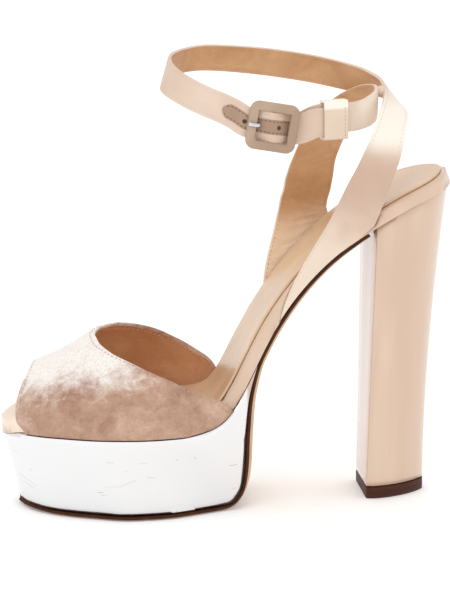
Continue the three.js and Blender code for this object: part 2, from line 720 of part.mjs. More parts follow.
// Two faces along rows of points as one closed sheet. The rows of a foot face sideways; spare
// is what the sheet is let out by at its sides, and twice below.
function strapSheet(rows, turn, outDepth, inDepth, footRows = [], spare = 0) {
  const last = rows[0].length - 1;
  const normal = (i, j) => {
    const [up, down] = [Math.min(i + 1, rows.length - 1), Math.max(i - 1, 0)];
    const along = rows[up][j].clone().sub(rows[down][j]);
    const over = rows[i][last].clone().sub(rows[i][0]);
    const out = over.cross(along).normalize().multiplyScalar(turn);
    return i < footRows.length ? out.lerp(vec(0, -turn, 0), 1 - footRows[i]).normalize() : out;
  };
  const letOut = (point, i, j) => {
    const over = rows[i][last].clone().sub(rows[i][0]).setLength(spare);
    if (j === 0) point.sub(over);
    if (j === last) point.add(over);
    return i === 0 ? point.add(rows[0][j].clone().sub(rows[1][j]).setLength(2 * spare)) : point;
  };
  const face = (depth) => rows.map((row, i) => row.map((point, j) => (
    letOut(point.clone().addScaledVector(normal(i, j), depth(i, j)), i, j))));
  return sheet(face(outDepth), face(inDepth));
}
const half = strapWall / 2;
const evenly = (depth) => () => depth;

// Places along a strap, closer together where it bends.
function bendSteps(path, fine, coarse) {
  const look = 0.006;
  const list = [];
  let t = 0;
  while (t < 1 - fine) {
    list.push(t);
    const bend = path.getTangent(t).angleTo(path.getTangent(Math.min(t + look, 1)));
    t += THREE.MathUtils.clamp((look * 0.22) / Math.max(bend, 1e-4), fine, coarse);
  }
  return [...list, 1];
}
const footRises = [0, 0.12, 0.25, 0.4, 0.55, 0.7, 0.85];
// The foot of a strap follows the curve of the insole; its columns draw together above it.
const footRow = (strap, rise, upper) => upper.map((share, j) => (
  strap.fromFoot(rise, lerp(j / (upper.length - 1), share, rise ** 2))));

// The long strap carries the hole patch as a step in its outer face, pointed at its front end.
const barPlace = longRows.length + 6;
const marks = 1000;
const lengths = longStrap.path.getLengths(marks);
const lengthTo = (t) => lengths[Math.round(t * marks)];
const patchEnd = lengthTo(barPlace / (longPlaces.length - 1));
const patchStart = patchEnd - patchLength;
const atLength = (goal) => lengths.findIndex((length) => length >= goal) / marks;
const patchHalf = (t) => {
  const inside = Math.min((lengthTo(t) - patchStart) / (patchWidth * 0.3), patchEnd - lengthTo(t));
  return (patchWidth / 2) * clamp01(inside);
};
const patchTurns = [0, 0.15, 0.3, 0.9].map((part) => atLength(patchStart + part * patchWidth));
const patchStops = [atLength(patchEnd - 2 * patchStep), atLength(patchEnd)];
const longSteps = bendSteps(longStrap.path, 0.008, 0.03)
  .filter((t) => [...patchTurns, ...patchStops].every((mark) => Math.abs(mark - t) > 0.003))
  .concat(patchTurns, patchStops)
  .sort((a, b) => a - b);
const longSides = (middle) => [0, 0.5 - middle, 0.5 - middle, 0.5 + middle, 0.5 + middle, 1];
const longShape = [
  ...footRises.map((rise) => footRow(longStrap, rise, longSides(0))),
  ...longSteps.map((t) => (
    longSides(patchHalf(t) / strapWidth).map((share) => longStrap.across(t, share)))),
];
const longRaise = (i, j) => {
  const t = longSteps[i - footRises.length];
  const raised = i >= footRises.length && patchHalf(t) > 0 && (j === 2 || j === 3);
  return raised ? half + patchStep : half;
};
const longSheet = strapSheet(longShape, 1, longRaise, evenly(-half), footRises);

const shortSteps = bendSteps(shortStrap.path, 0.012, 0.045);
const shortSides = [0, 0.5, 0.5, 0.5, 0.5, 1];
const shortShape = [
  ...footRises.map((rise) => footRow(shortStrap, rise, shortSides)),
  ...shortSteps.map((t) => shortSides.map((share) => shortStrap.across(t, share))),
];
const shortSheet = strapSheet(shortShape, -1, evenly(half), evenly(-half), footRises);

// Round pieces on the pivot of the buckle, lying across the strap.
const pivotPiece = (radius, length) => toManifold(toAxes(
  new THREE.CylinderGeometry(radius, radius, length, 16).translate(0, 0, pivotDepth),
  buckleAxes,
));
const boxAt = (axes, place, size) => toManifold(toAxes(
  new THREE.BoxGeometry(...size).translate(...place),
  axes,
));
const eyeInner = pivotRadius + fitGap;
const eyeOuter = eyeInner + strapWall;
const eye = pivotPiece(eyeOuter, strapWidth - fitGap).subtract(pivotPiece(eyeInner, strapWidth * 2));
const eyeNotch = boxAt(
  buckleAxes,
  [0, 0, pivotDepth],
  [2 * (eyeOuter + fitGap), prongWidth + 2 * fitGap, 4 * eyeOuter],
);

// Prong: a loop on the pivot and a bar that comes up through the strap and lies on the frame.
// Places along it are shares of the way to the side bar, and of the rise to the frame's top.
const prongRows = [
  { along: 0.19, rise: 0 },
  { along: 0.36, rise: 0.01 },
  { along: 0.51, rise: 0.14 },
  { along: 0.59, rise: 0.38 },
  { along: 0.62, rise: 0.64 },
  { along: 0.66, rise: 0.86 },
  { along: 0.78, rise: 0.99 },
  { along: 0.98, rise: 1 },
  { along: 1.2, rise: 1 },
];
function prongBar(loose) {
  const top = buckleDepth / 2 + fitGap + prongThickness / 2;
  const path = new THREE.CatmullRomCurve3(prongRows.map((row) => (
    vec(-row.along * sideBar, 0, lerp(pivotDepth, top, row.rise)))), false, 'centripetal');
  const rows = range(19).map((i) => [-1, 1].map((side) => {
    const point = path.getPointAt(i / 18);
    return inAxes(buckleAxes, point.x, side * (prongWidth / 2 + loose), point.z);
  }));
  const depth = prongThickness / 2 + loose;
  return toManifold(strapSheet(rows, 1, evenly(depth), evenly(-depth)));
}
const loopOuter = eyeInner + prongThickness;
const prong = pivotPiece(loopOuter, prongWidth).add(prongBar(0))
  .subtract(pivotPiece(eyeInner, prongWidth * 2));

// The straps: both sheets, the stitch tack that holds them together behind the ankle, the eye
// round the pivot, and the holes.
const tack = boxAt(
  { ...keeperAxes, centre: ringPlace({ back: 0.061, side: -0.017, up: 0.75 }).centre },
  [0, 0, 0],
  [tackDepth, tackHeight, tackWidth],
);
const prongAlong = -prongRows[3].along * sideBar;
const holePin = (along) => toManifold(toAxes(
  new THREE.CylinderGeometry(holeRadius, holeRadius, 4 * strapWall, 12)
    .rotateX(Math.PI / 2)
    .translate(along, 0, underBar / 2),
  buckleAxes,
));
const longPart = toManifold(longSheet)
  .subtract(prongBar(fitGap))
  .subtract(holePin(prongAlong - holePitch))
  .subtract(holePin(prongAlong + holePitch));
const shortPart = toManifold(shortSheet).add(eye).subtract(eyeNotch);
const straps = longPart.add(shortPart).add(tack);

// The insole is cut out at both edges for the feet of the straps, which run down beside it.
function footPocket(shape, turn) {
  const rows = shape.slice(0, footRises.length + 4);
  const [outDepth, inDepth] = [evenly(2 * strapWall), evenly(-half - fitGap)];
  return toManifold(strapSheet(rows, turn, outDepth, inDepth, footRises, 2 * fitGap));
}
const cutInsole = toManifold(insoleBlank)
  .subtract(footPocket(longShape, 1))
  .subtract(toManifold(longSheet).translate([fitGap, 0, 0]))
  .subtract(toManifold(longSheet))
  .subtract(footPocket(shortShape, -1));
// A sliver that a pocket may cut free at its rim is left off.
const [insole] = cutInsole.decompose().sort((a, b) => b.volume() - a.volume());

// A flat ring with round corners, from its outer size and the widths of its sides.
function ringShape(length, height, side, bar, corner) {
  const rounded = (Kind, x, y, r) => {
    const shape = new Kind();
    shape.absarc(x - r, y - r, r, 0, Math.PI / 2);
    shape.absarc(r - x, y - r, r, Math.PI / 2, Math.PI);
    shape.absarc(r - x, r - y, r, Math.PI, 1.5 * Math.PI);
    shape.absarc(x - r, r - y, r, 1.5 * Math.PI, 2 * Math.PI);
    shape.closePath();
    return shape;
  };
  const shape = rounded(THREE.Shape, length / 2, height / 2, corner);
  const inner = Math.max(corner - Math.min(side, bar), buckleEdge / 2);
  shape.holes.push(rounded(THREE.Path, length / 2 - side, height / 2 - bar, inner));
  return shape;
}

// Buckle: a round-cornered frame with a sunk pivot bar that is carried on two short posts.
const buckleOpening = strapWidth + 2 * fitGap;
const buckleHeight = buckleOpening + 2 * buckleBar;
const frameBlank = new THREE.ExtrudeGeometry(
  ringShape(buckleLength, buckleHeight, buckleSide, buckleBar, buckleCorner),
  {
    depth: buckleDepth - 2 * buckleEdge,
    bevelEnabled: true,
    bevelThickness: buckleEdge,
    bevelSize: buckleEdge,
    bevelOffset: -buckleEdge,
    bevelSegments: 2,
    curveSegments: 5,
  },
).translate(0, 0, buckleEdge - buckleDepth / 2);
const postMiddle = (buckleOpening + buckleBar) / 2;
const postOf = (side) => boxAt(
  buckleAxes,
  [0, side * postMiddle, (pivotDepth - pivotRadius) / 2],
  [2 * pivotRadius, pivotRadius * 2, pivotRadius - pivotDepth],
);
const buckle = toManifold(toAxes(frameBlank, buckleAxes))
  .add(pivotPiece(pivotRadius, buckleOpening + buckleBar))
  .add(postOf(1))
  .add(postOf(-1));

// Keeper: a band round both straps, with some room above them.
const keeperDepth = 2 * (strapWall + keeperWall) + 3 * fitGap;
const keeperHeight = strapWidth + keeperSlack + 2 * (fitGap + keeperWall);
const keeper = new THREE.ExtrudeGeometry(
  ringShape(keeperHeight, keeperDepth, keeperWall, keeperWall, keeperWall),
  { depth: keeperWidth, bevelEnabled: false, curveSegments: 3 },
).translate(keeperSlack / 2, 0, -keeperWidth / 2).applyMatrix4(
  new THREE.Matrix4()
    .makeBasis(keeperAxes.across, keeperAxes.out, keeperAxes.along)
    .setPosition(keeperAxes.centre),
);

const paint = (color, roughness, metalness) => (
  new THREE.MeshStandardMaterial({ color, roughness, metalness })
);
const silver = paint(0xe4e4e4, 0.15, 1);
const nudePatent = paint(0xe4cbb4, 0.2, 0);
const nudeLeather = paint(0xe8d2ba, 0.35, 0);
const tanLining = paint(0xcda582, 0.4, 0);
const velvet = paint(0xbe9682, 0.9, 0);
const satin = paint(0xe4ccba, 0.45, 0);
const steel = paint(0xc8c8c8, 0.3, 1);
const edgeBrown = paint(0x6e4a34, 0.6, 0);

const sandal = new THREE.Group();
function add(name, geometry, material) {
  const mesh = new THREE.Mesh(geometry, material);
  mesh.name = name;
  sandal.add(mesh);
}
add('outsole', outsole, edgeBrown);
add('platform', platform, silver);
add('insole', fromManifold(insole), nudeLeather);
add('sock_lining', sockLining, tanLining);
add('vamp', vamp, velvet);
add('ankle_straps', fromManifold(straps), satin);
add('buckle_frame', fromManifold(buckle), satin);
add('buckle_prong', fromManifold(prong), steel);
add('keeper', keeper, satin);
add('heel', heel, nudePatent);
add('heel_tip', heelTip, edgeBrown);

// The sandal stands over the middle of its own outline, on the floor.
const bounds = new THREE.Box3().setFromObject(sandal);
const middle = bounds.getCenter(vec(0, 0, 0));
sandal.children.forEach((mesh) => mesh.geometry.translate(-middle.x, -middle.y, -bounds.min.z));

export default sandal;
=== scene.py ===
import math

import bmesh
import bpy
from mathutils import Matrix, Vector


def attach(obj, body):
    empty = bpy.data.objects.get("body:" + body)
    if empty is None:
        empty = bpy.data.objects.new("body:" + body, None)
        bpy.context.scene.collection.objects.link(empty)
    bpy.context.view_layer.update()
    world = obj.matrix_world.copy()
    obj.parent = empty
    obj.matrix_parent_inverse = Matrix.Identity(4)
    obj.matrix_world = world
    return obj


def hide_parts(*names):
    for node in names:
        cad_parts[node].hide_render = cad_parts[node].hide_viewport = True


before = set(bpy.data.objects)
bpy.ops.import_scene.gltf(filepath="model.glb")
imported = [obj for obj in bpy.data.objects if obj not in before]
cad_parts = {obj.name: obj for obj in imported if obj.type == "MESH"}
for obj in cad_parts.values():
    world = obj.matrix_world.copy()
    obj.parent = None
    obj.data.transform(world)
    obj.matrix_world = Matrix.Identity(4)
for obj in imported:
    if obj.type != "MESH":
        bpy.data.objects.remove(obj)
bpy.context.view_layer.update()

MM = 0.001
# The row frame stands this far to the inner side of the frame that the tables below use.
SIDE_SHIFT = 1.17 * MM


# Shader maths

# The sockets of a Mix node that mixes colours: its factor, its two colours and its result.
MIX_SHARE, MIX_FIRST, MIX_SECOND, MIX_COLOUR = 0, 6, 7, 2


def wire(tree, socket, value):
    """Links a shader value to a socket, or sets a plain value on it."""
    if isinstance(value, Sock):
        tree.links.new(value.link, socket)
    else:
        socket.default_value = value


class Sock:
    """One shader value; arithmetic on it adds the Math node that does the sum."""

    def __init__(self, tree, link):
        self.tree = tree
        self.link = link

    def _math(self, operation, *others, swap=False):
        node = self.tree.nodes.new("ShaderNodeMath")
        node.operation = operation
        values = [*others, self] if swap else [self, *others]
        for place, value in enumerate(values):
            wire(self.tree, node.inputs[place], value)
        return Sock(self.tree, node.outputs[0])

    def __add__(self, other):
        return self._math("ADD", other)

    __radd__ = __add__

    def __sub__(self, other):
        return self._math("SUBTRACT", other)

    def __rsub__(self, other):
        return self._math("SUBTRACT", other, swap=True)

    def __mul__(self, other):
        return self._math("MULTIPLY", other)

    __rmul__ = __mul__

    def __truediv__(self, other):
        return self._math("DIVIDE", other)

    def __pow__(self, other):
        return self._math("POWER", other)

    def clamp(self):
        return self._math("MAXIMUM", 0.0)._math("MINIMUM", 1.0)

    def less(self, other):
        return self._math("LESS_THAN", other)

    def step(self, low, high):
        """0 below low, 1 above high, smooth between; low may be the larger one."""
        node = self.tree.nodes.new("ShaderNodeMapRange")
        node.interpolation_type = "SMOOTHSTEP"
        self.tree.links.new(self.link, node.inputs["Value"])
        node.inputs["From Min"].default_value = min(low, high)
        node.inputs["From Max"].default_value = max(low, high)
        node.inputs["To Min"].default_value = 0.0 if low < high else 1.0
        node.inputs["To Max"].default_value = 1.0 if low < high else 0.0
        return Sock(self.tree, node.outputs["Result"])


class Finish:
    """A procedural material: its places, noises and mixes, and the shader they feed."""

    def __init__(self, name, **shader):
        self.material = bpy.data.materials.new(name)
        self.material.use_nodes = True
        self.tree = self.material.node_tree
        self.shader = self.tree.nodes["Principled BSDF"]
        self.feed(**shader)

    def node(self, kind, settings=None, output=0, **inputs):
        """Adds any node: its settings first, then values or links for its sockets."""
        node = self.tree.nodes.new(kind)
        for key, value in (settings or {}).items():
            setattr(node, key, value)
        for key, value in inputs.items():
            wire(self.tree, node.inputs[key.replace("_", " ")], value)
        return Sock(self.tree, node.outputs[output])

    def place(self, scale=(1, 1, 1), turn=(0, 0, 0), offset=(0, 0, 0)):
        """A point of the piece in metres, stretched and turned for a pattern."""
        here = self.node("ShaderNodeTexCoord", output="Object")
        return self.node("ShaderNodeMapping", Vector=here, Scale=scale, Rotation=turn,
                         Location=offset)

    def cloth(self, scale):
        """A point of the piece's own flat pattern, in metres, stretched for a pattern."""
        here = self.node("ShaderNodeUVMap", {"uv_map": "flat"})
        return self.node("ShaderNodeMapping", Vector=here, Scale=scale)

    def split(self, vector):
        node = self.tree.nodes.new("ShaderNodeSeparateXYZ")
        self.tree.links.new(vector.link, node.inputs[0])
        return [Sock(self.tree, socket) for socket in node.outputs]

    def noise(self, place, scale, detail=3.0, rough=0.5, warp=0.0):
        return self.node("ShaderNodeTexNoise", Vector=place, Scale=scale, Detail=detail,
                         Roughness=rough, Distortion=warp)

    def cells(self, place, scale):
        return self.node("ShaderNodeTexVoronoi", Vector=place, Scale=scale)

    def mix(self, share, first, second):
        """The first colour where share is 0, and the second where it is 1."""
        node = self.tree.nodes.new("ShaderNodeMix")
        node.data_type = "RGBA"
        for key, value in ((MIX_SHARE, share), (MIX_FIRST, first), (MIX_SECOND, second)):
            wire(self.tree, node.inputs[key], value)
        return Sock(self.tree, node.outputs[MIX_COLOUR])

    def stroke(self, x, z, start, end, half=0.2):
        """A thin mark from one (x, z) to another, in mm: 1 on it, 0 beside it."""
        (ax, az), (bx, bz) = start, end
        run, rise = (bx - ax) * MM, (bz - az) * MM
        from_x, from_z = x - ax * MM, z - az * MM
        part = ((from_x * run + from_z * rise) / (run * run + rise * rise)).clamp()
        gap = ((from_x - part * run) ** 2 + (from_z - part * rise) ** 2) ** 0.5
        return gap.step(half * 1.8 * MM, half * 0.5 * MM)

    def feed(self, **inputs):
        for key, value in inputs.items():
            wire(self.tree, self.shader.inputs[key.replace("_", " ")], value)

    def relief(self, *layers):
        """Bump layers as (height, depth in metres), the first one lowest."""
        normal = None
        for height, depth in layers:
            inputs = {"Height": height, "Distance": depth, "Strength": 1.0}
            if normal:
                inputs["Normal"] = normal
            normal = self.node("ShaderNodeBump", **inputs)
        self.tree.links.new(normal.link, self.shader.inputs["Normal"])
        return self.material


def paint(red, green, blue):
    """A display colour from 0 to 255 as the linear colour that the shader takes."""
    def linear(value):
        value /= 255
        return value / 12.92 if value <= 0.04045 else ((value + 0.055) / 1.055) ** 2.4
    return (linear(red), linear(green), linear(blue), 1.0)


# Small modelling helpers

def lerp(a, b, t):
    return a + (b - a) * t


def clamp01(t):
    return min(max(t, 0.0), 1.0)


def ramp(t, a, b):
    """0 before a, 1 past b, smooth between."""
    s = clamp01((t - a) / (b - a))
    return s * s * (3 - 2 * s)


def curve(rows):
    """A smooth curve through rows of (key, value) that never overshoots between two rows."""
    keys = [row[0] for row in rows]
    values = [row[1] for row in rows]
    last = len(keys) - 1
    slope = [(values[i + 1] - values[i]) / (keys[i + 1] - keys[i]) for i in range(last)]
    tangent = [slope[0]]
    for i in range(1, last):
        a, b = slope[i - 1], slope[i]
        tangent.append(0.0 if a * b <= 0 else 2 * a * b / (a + b))
    tangent.append(slope[-1])

    def at(key):
        i = 0
        while i < last - 1 and key > keys[i + 1]:
            i += 1
        span = keys[i + 1] - keys[i]
        t = clamp01((key - keys[i]) / span)
        bend = tangent[i] * span * t * (1 - t) ** 2 - tangent[i + 1] * span * t * t * (1 - t)
        return values[i] + (values[i + 1] - values[i]) * t * t * (3 - 2 * t) + bend
    return at


def only(obj):
    bpy.ops.object.select_all(action="DESELECT")
    obj.select_set(True)
    bpy.context.view_layer.objects.active = obj


def dress(obj, materials):
    """Puts the materials in the piece's slots, and leaves each face in its own slot."""
    slots = obj.data.materials
    while len(slots) < len(materials):
        slots.append(None)
    for i, material in enumerate(materials):
        slots[i] = material


def finish_piece(obj, name, node, slot, materials):
    obj.name = name
    obj.data.name = name
    dress(obj, materials)
    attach(obj, "root")
    if node:
        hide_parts(node)
    return obj


def apply(obj, kind, **settings):
    only(obj)
    modifier = obj.modifiers.new(kind.title(), kind)
    for key, value in settings.items():
        setattr(modifier, key, value)
    bpy.ops.object.modifier_apply(modifier=modifier.name)


def smooth(obj, degrees):
    only(obj)
    bpy.ops.object.shade_smooth_by_angle(angle=math.radians(degrees), keep_sharp_edges=False)


CREASE = 0.85
SMOOTH_UNDER = 42


def dressed_copy(node, quads=True, crease_over=38, levels=2):
    """A copy of a solid with its triangles joined, its corners kept and its faces smooth."""
    obj = bpy.data.objects.new(node + "_dressed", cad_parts[node].data.copy())
    bpy.context.scene.collection.objects.link(obj)
    only(obj)
    bpy.ops.object.mode_set(mode="EDIT")
    bpy.ops.mesh.select_all(action="SELECT")
    bpy.ops.mesh.remove_doubles(threshold=0.00001)
    if quads:
        bpy.ops.mesh.tris_convert_to_quads(face_threshold=math.radians(25),
                                           shape_threshold=math.radians(60))
    bpy.ops.object.mode_set(mode="OBJECT")
    if levels:
        shape = bmesh.new()
        shape.from_mesh(obj.data)
        crease = shape.edges.layers.float.get("crease_edge") \
            or shape.edges.layers.float.new("crease_edge")
        for edge in shape.edges:
            if len(edge.link_faces) == 2 and edge.calc_face_angle() > math.radians(crease_over):
                edge[crease] = CREASE
        shape.to_mesh(obj.data)
        shape.free()
        apply(obj, "SUBSURF", levels=levels, render_levels=levels)
    smooth(obj, SMOOTH_UNDER)
    return obj


def grid_piece(name, along, across, place, flat):
    """A grid laid on a surface: place gives a point and flat its pattern place, in metres."""
    bpy.ops.mesh.primitive_grid_add(x_subdivisions=along, y_subdivisions=across, size=2)
    obj = bpy.context.object
    obj.name = name
    mesh = obj.data
    keys = [((v.co.x + 1) / 2, (v.co.y + 1) / 2) for v in mesh.vertices]
    pattern = mesh.uv_layers.active or mesh.uv_layers.new()
    pattern.name = "flat"
    for loop in mesh.loops:
        pattern.data[loop.index].uv = flat(*keys[loop.vertex_index])
    for vertex, key in zip(mesh.vertices, keys):
        vertex.co = place(*key)
    mesh.update()
    return obj


def turn_out(obj, outward):
    """Turns the faces of an open sheet to the side that outward gives for each face."""
    votes = 0
    for face in obj.data.polygons:
        votes += 1 if face.normal.dot(outward(face)) > 0 else -1
    if votes < 0:
        only(obj)
        bpy.ops.object.mode_set(mode="EDIT")
        bpy.ops.mesh.select_all(action="SELECT")
        bpy.ops.mesh.flip_normals()
        bpy.ops.object.mode_set(mode="OBJECT")


def wall_and_edges(obj, wall, soft, offset=-1.0, lining=1):
    """Gives a sheet its wall, with the lining's material inside, and softens its edges."""
    apply(obj, "SOLIDIFY", thickness=wall * MM, offset=offset, use_rim=True,
          material_offset=lining, material_offset_rim=0)
    apply(obj, "BEVEL", width=soft * MM, segments=2, limit_method="ANGLE",
          angle_limit=math.radians(50))
    smooth(obj, 50)


def join(pieces, name):
    bpy.ops.object.select_all(action="DESELECT")
    for piece in pieces:
        piece.select_set(True)
    bpy.context.view_layer.objects.active = pieces[0]
    bpy.ops.object.join()
    pieces[0].name = name
    return pieces[0]


def resize(obj, size):
    """Stretches a new piece about its own middle."""
    only(obj)
    bpy.ops.object.mode_set(mode="EDIT")
    bpy.ops.mesh.select_all(action="SELECT")
    bpy.ops.transform.resize(value=size)
    bpy.ops.object.mode_set(mode="OBJECT")


# The last, as in the source

FOOT, BALL, WAIST, SEAT = 210.5, 80.5, 44.5, 58.0
PLATFORM, SEAT_HEIGHT, TOE_DROP, VAMP = 38.8, 147.8, 4.2, 43.0
TOE_LEVEL = 0.12
# Rows: place along the foot, width there, and the outer and the inner share of that width.
OUTLINE = [
    (0, BALL, -0.05, 0.05), (0.035, BALL, 0.165, 0.255), (0.077, BALL, 0.3, 0.35),
    (0.148, BALL, 0.415, 0.43), (0.22, BALL, 0.485, 0.472), (0.305, BALL, 0.515, 0.485),
    (0.38, BALL, 0.49, 0.453), (0.448, BALL, 0.413, 0.38), (0.524, WAIST, 0.58, 0.54),
    (0.605, WAIST, 0.515, 0.485), (0.7, WAIST, 0.53, 0.52), (0.795, SEAT, 0.466, 0.462),
    (0.866, SEAT, 0.5, 0.5), (0.923, SEAT, 0.464, 0.46), (0.966, SEAT, 0.35, 0.345),
    (1, SEAT, 0, 0),
]


def round_key(at):
    return math.acos(1 - 2 * clamp01(at))


outer_curve = curve([(round_key(at), outer * wide) for at, wide, outer, _ in OUTLINE])
inner_curve = curve([(round_key(at), inner * wide) for at, wide, _, inner in OUTLINE])
climb = curve([(0.395, 0), (0.45, 0.016), (0.49, 0.058), (0.52, 0.137), (0.55, 0.248),
               (0.6, 0.425), (0.65, 0.562), (0.7, 0.668), (0.75, 0.752), (0.82, 0.846),
               (0.9, 0.93), (1, 1)])
drop = curve([(0, 1), (0.02, 0.6), (0.04, 0.3), (0.065, 0.12), (0.12, 0)])
last_height = curve([(0, 0.46), (0.03, 0.55), (0.07, 0.64), (0.115, 0.71), (0.155, 0.79),
                     (0.195, 0.9), (0.225, 0.97), (0.27, 1), (0.34, 0.97), (0.4, 0.9),
                     (0.46, 0.8), (0.53, 0.68)])
# Rows: place round the foot from the outer side, and the places of the peep and of the topline.
RIM = [
    (0, 0.0465, 0.5), (0.04, 0.03, 0.485), (0.08, 0.0275, 0.464), (0.15, 0.028, 0.394),
    (0.22, 0.0335, 0.3065), (0.3, 0.043, 0.24), (0.38, 0.053, 0.2155), (0.47, 0.062, 0.2105),
    (0.53, 0.066, 0.223), (0.6, 0.068, 0.286), (0.66, 0.068, 0.345), (0.75, 0.064, 0.42),
    (0.84, 0.056, 0.468), (0.92, 0.054, 0.489), (1, 0.058, 0.5),
]
peep_rim = curve([(share, front) for share, front, _ in RIM])
top_rim = curve([(share, back) for share, _, back in RIM])


def to_row(x, y, z):
    return Vector((x * MM, y * MM + SIDE_SHIFT, z * MM))


def joint_z(at):
    return PLATFORM - TOE_DROP * drop(at) + (SEAT_HEIGHT - PLATFORM) * climb(at)


def last_skin(at, turn):
    angle = math.pi * turn
    outer, inner = outer_curve(round_key(at)), inner_curve(round_key(at))
    lift = max(math.sin(angle), 0.0)
    y = (inner - outer) / 2 - (inner + outer) / 2 * math.cos(angle) + 0.1 * BALL * lift ** 2
    return Vector(((at - 0.5) * FOOT, y, joint_z(at) + VAMP * last_height(at) * lift ** 0.75))


def skin_normal(at, turn):
    step = 0.004
    lift = math.sin(math.pi * turn)
    across = last_skin(at, min(turn + step, 1)) - last_skin(at, max(turn - step, 0))
    along = last_skin(at + step, turn) - last_skin(at - step, turn)
    normal = along.cross(across).normalized()
    return Vector((normal.x * lift, normal.y, normal.z * lift)).normalized()


# Finishes

# Where the finishes change, in metres: along the shoe (x, the heel at +) or up (z). Each pair
# runs from the place where a change starts to the place where it is whole.
# Painted highlight on the velvet: up the vamp, on its front crown, and towards the peep.
VELVET_HIGHLIGHT_RISE = (0.047, 0.078)
VELVET_HIGHLIGHT_CROWN = (-0.028, -0.062)
VELVET_HIGHLIGHT_FRONT = (-0.05, -0.1)
# Painted highlight on the satin behind the ankle, and painted shade below it.
SATIN_HIGHLIGHT_BACK, SATIN_HIGHLIGHT_RISE, SATIN_HIGHLIGHT_END = (0.052, 0.068), (0.162, 0.172), (0.196, 0.182)
SATIN_SHADE_BACK, SATIN_SHADE_RISE, SATIN_SHADE_END = (0.03, 0.05), (0.132, 0.148), (0.166, 0.156)
# Painted paler band of light on the satin, low down by the strap's foot.
SATIN_FOOT_LIGHT = (0.134, 0.118)
# Painted highlight on the lining, low down where a strap fans out to its foot.
LINING_FOOT_LIGHT = (0.138, 0.116)
RIM_DEEP = (-0.07, -0.01)
# Painted highlight along the keeper's folded top edge.
KEEPER_FOLD_HIGHLIGHT = (0.1852, 0.1868)
FOIL_WORN = (0.0046, 0.0026)
# Painted tan reflection on the back of the foil's outer side.
FOIL_REFLECTION_BACK, FOIL_REFLECTION_RISE = (0.0062, 0.0078), (0.02, 0.028)
TREAD_WORN = (0.012, 0.001)
# Painted dark reflection of the outsole edge along the foot of the foil, up to this height.
FOIL_DARK_REFLECTION_TOP = 0.0031


def velvet_finish():
    """Crushed velvet: a deep nap, brushed light and dark at random, under a painted highlight on
    top.
    """
    f = Finish("crushed_velvet", Roughness=0.85, Sheen_Weight=0.55, Sheen_Roughness=0.38,
               Sheen_Tint=(1.0, 0.93, 0.88, 1), Specular_IOR_Level=0.15)
    here = f.place()
    brushed = f.noise(here, 40, 6, 0.68, 0.35)
    crushed = f.noise(f.place(scale=(1, 1.2, 1.4), turn=(0.3, 0.2, 0.5)), 130, 5, 0.7, 0.5)
    flecks = f.noise(here, 900, 3, 0.7)
    x, _, z = f.split(here)
    # Painted highlight: the top of the vamp, most at its front crown and towards the peep, is
    # painted near white (247, 241, 235). The random nap breaks it up.
    rise = z.step(*VELVET_HIGHLIGHT_RISE)
    crown = x.step(*VELVET_HIGHLIGHT_CROWN) * 0.7 + 0.3
    front = x.step(*VELVET_HIGHLIGHT_FRONT)
    top = (rise * crown + front * 0.3).clamp()
    nap_and_highlight = (top + (brushed - 0.5) * 1.15 + (crushed - 0.5) * 0.9).clamp()
    shade = f.mix((brushed * 2.0 - 0.5 + (crushed - 0.5) * 1.3).clamp(),
                  paint(154, 113, 92), paint(210, 177, 155))
    colour = f.mix(nap_and_highlight.step(0.28, 0.95), shade, paint(247, 241, 235))
    colour = f.mix(flecks.step(0.42, 0.64) * 0.2, colour, paint(150, 112, 95))
    f.feed(Base_Color=colour)
    return f.relief((brushed, 0.0009), (crushed, 0.0005), (flecks, 0.00012))


def satin_finish(name, light, dark, painted_light=False, painted_fold_highlight=False, sheer=1.0):
    """Fine satin: long floats along the strap and a soft bloom. On the straps it has painted light:
    a painted highlight behind the ankle, a paler painted band of light by the foot, and painted
    shade between the two. On the keeper it has a painted highlight along its folded top edge. Less
    sheer, it shines less."""
    f = Finish(name, Sheen_Weight=0.12 * sheer, Sheen_Roughness=0.4,
               Specular_IOR_Level=0.55 * sheer, Anisotropic=0.5)
    threads = f.noise(f.cloth(scale=(60, 2600, 1)), 1.0, 2, 0.5)
    weft = f.noise(f.cloth(scale=(1900, 120, 1)), 1.0, 2, 0.5)
    bloom = f.noise(f.place(), 26, 3, 0.5, 0.6)
    colour = f.mix(bloom.step(0.3, 0.72), dark, light)
    colour = f.mix(threads.step(0.35, 0.7) * 0.14, colour, dark)
    if painted_light:
        # Painted highlight behind the ankle, painted shade below it, and a painted paler band of
        # light by the strap's foot.
        x, _, z = f.split(f.place())
        painted_highlight = x.step(*SATIN_HIGHLIGHT_BACK) * z.step(*SATIN_HIGHLIGHT_RISE) * z.step(*SATIN_HIGHLIGHT_END)
        painted_shade = x.step(*SATIN_SHADE_BACK) * z.step(*SATIN_SHADE_RISE) * z.step(*SATIN_SHADE_END)
        colour = f.mix(painted_highlight * 0.85, colour, paint(252, 243, 230))
        colour = f.mix(painted_shade * 0.7, colour, paint(196, 164, 142))
        colour = f.mix(z.step(*SATIN_FOOT_LIGHT) * 0.55, colour, paint(240, 226, 206))
    if painted_fold_highlight:
        # Painted highlight along the keeper's folded top edge.
        z = f.split(f.place())[2]
        colour = f.mix(z.step(*KEEPER_FOLD_HIGHLIGHT) * 0.8, colour, paint(253, 245, 234))
    f.feed(Base_Color=colour, Roughness=0.14 * weft + (0.52 - 0.18 * sheer))
    return f.relief((bloom, 0.0005), (threads, 0.00003), (weft, 0.00003))


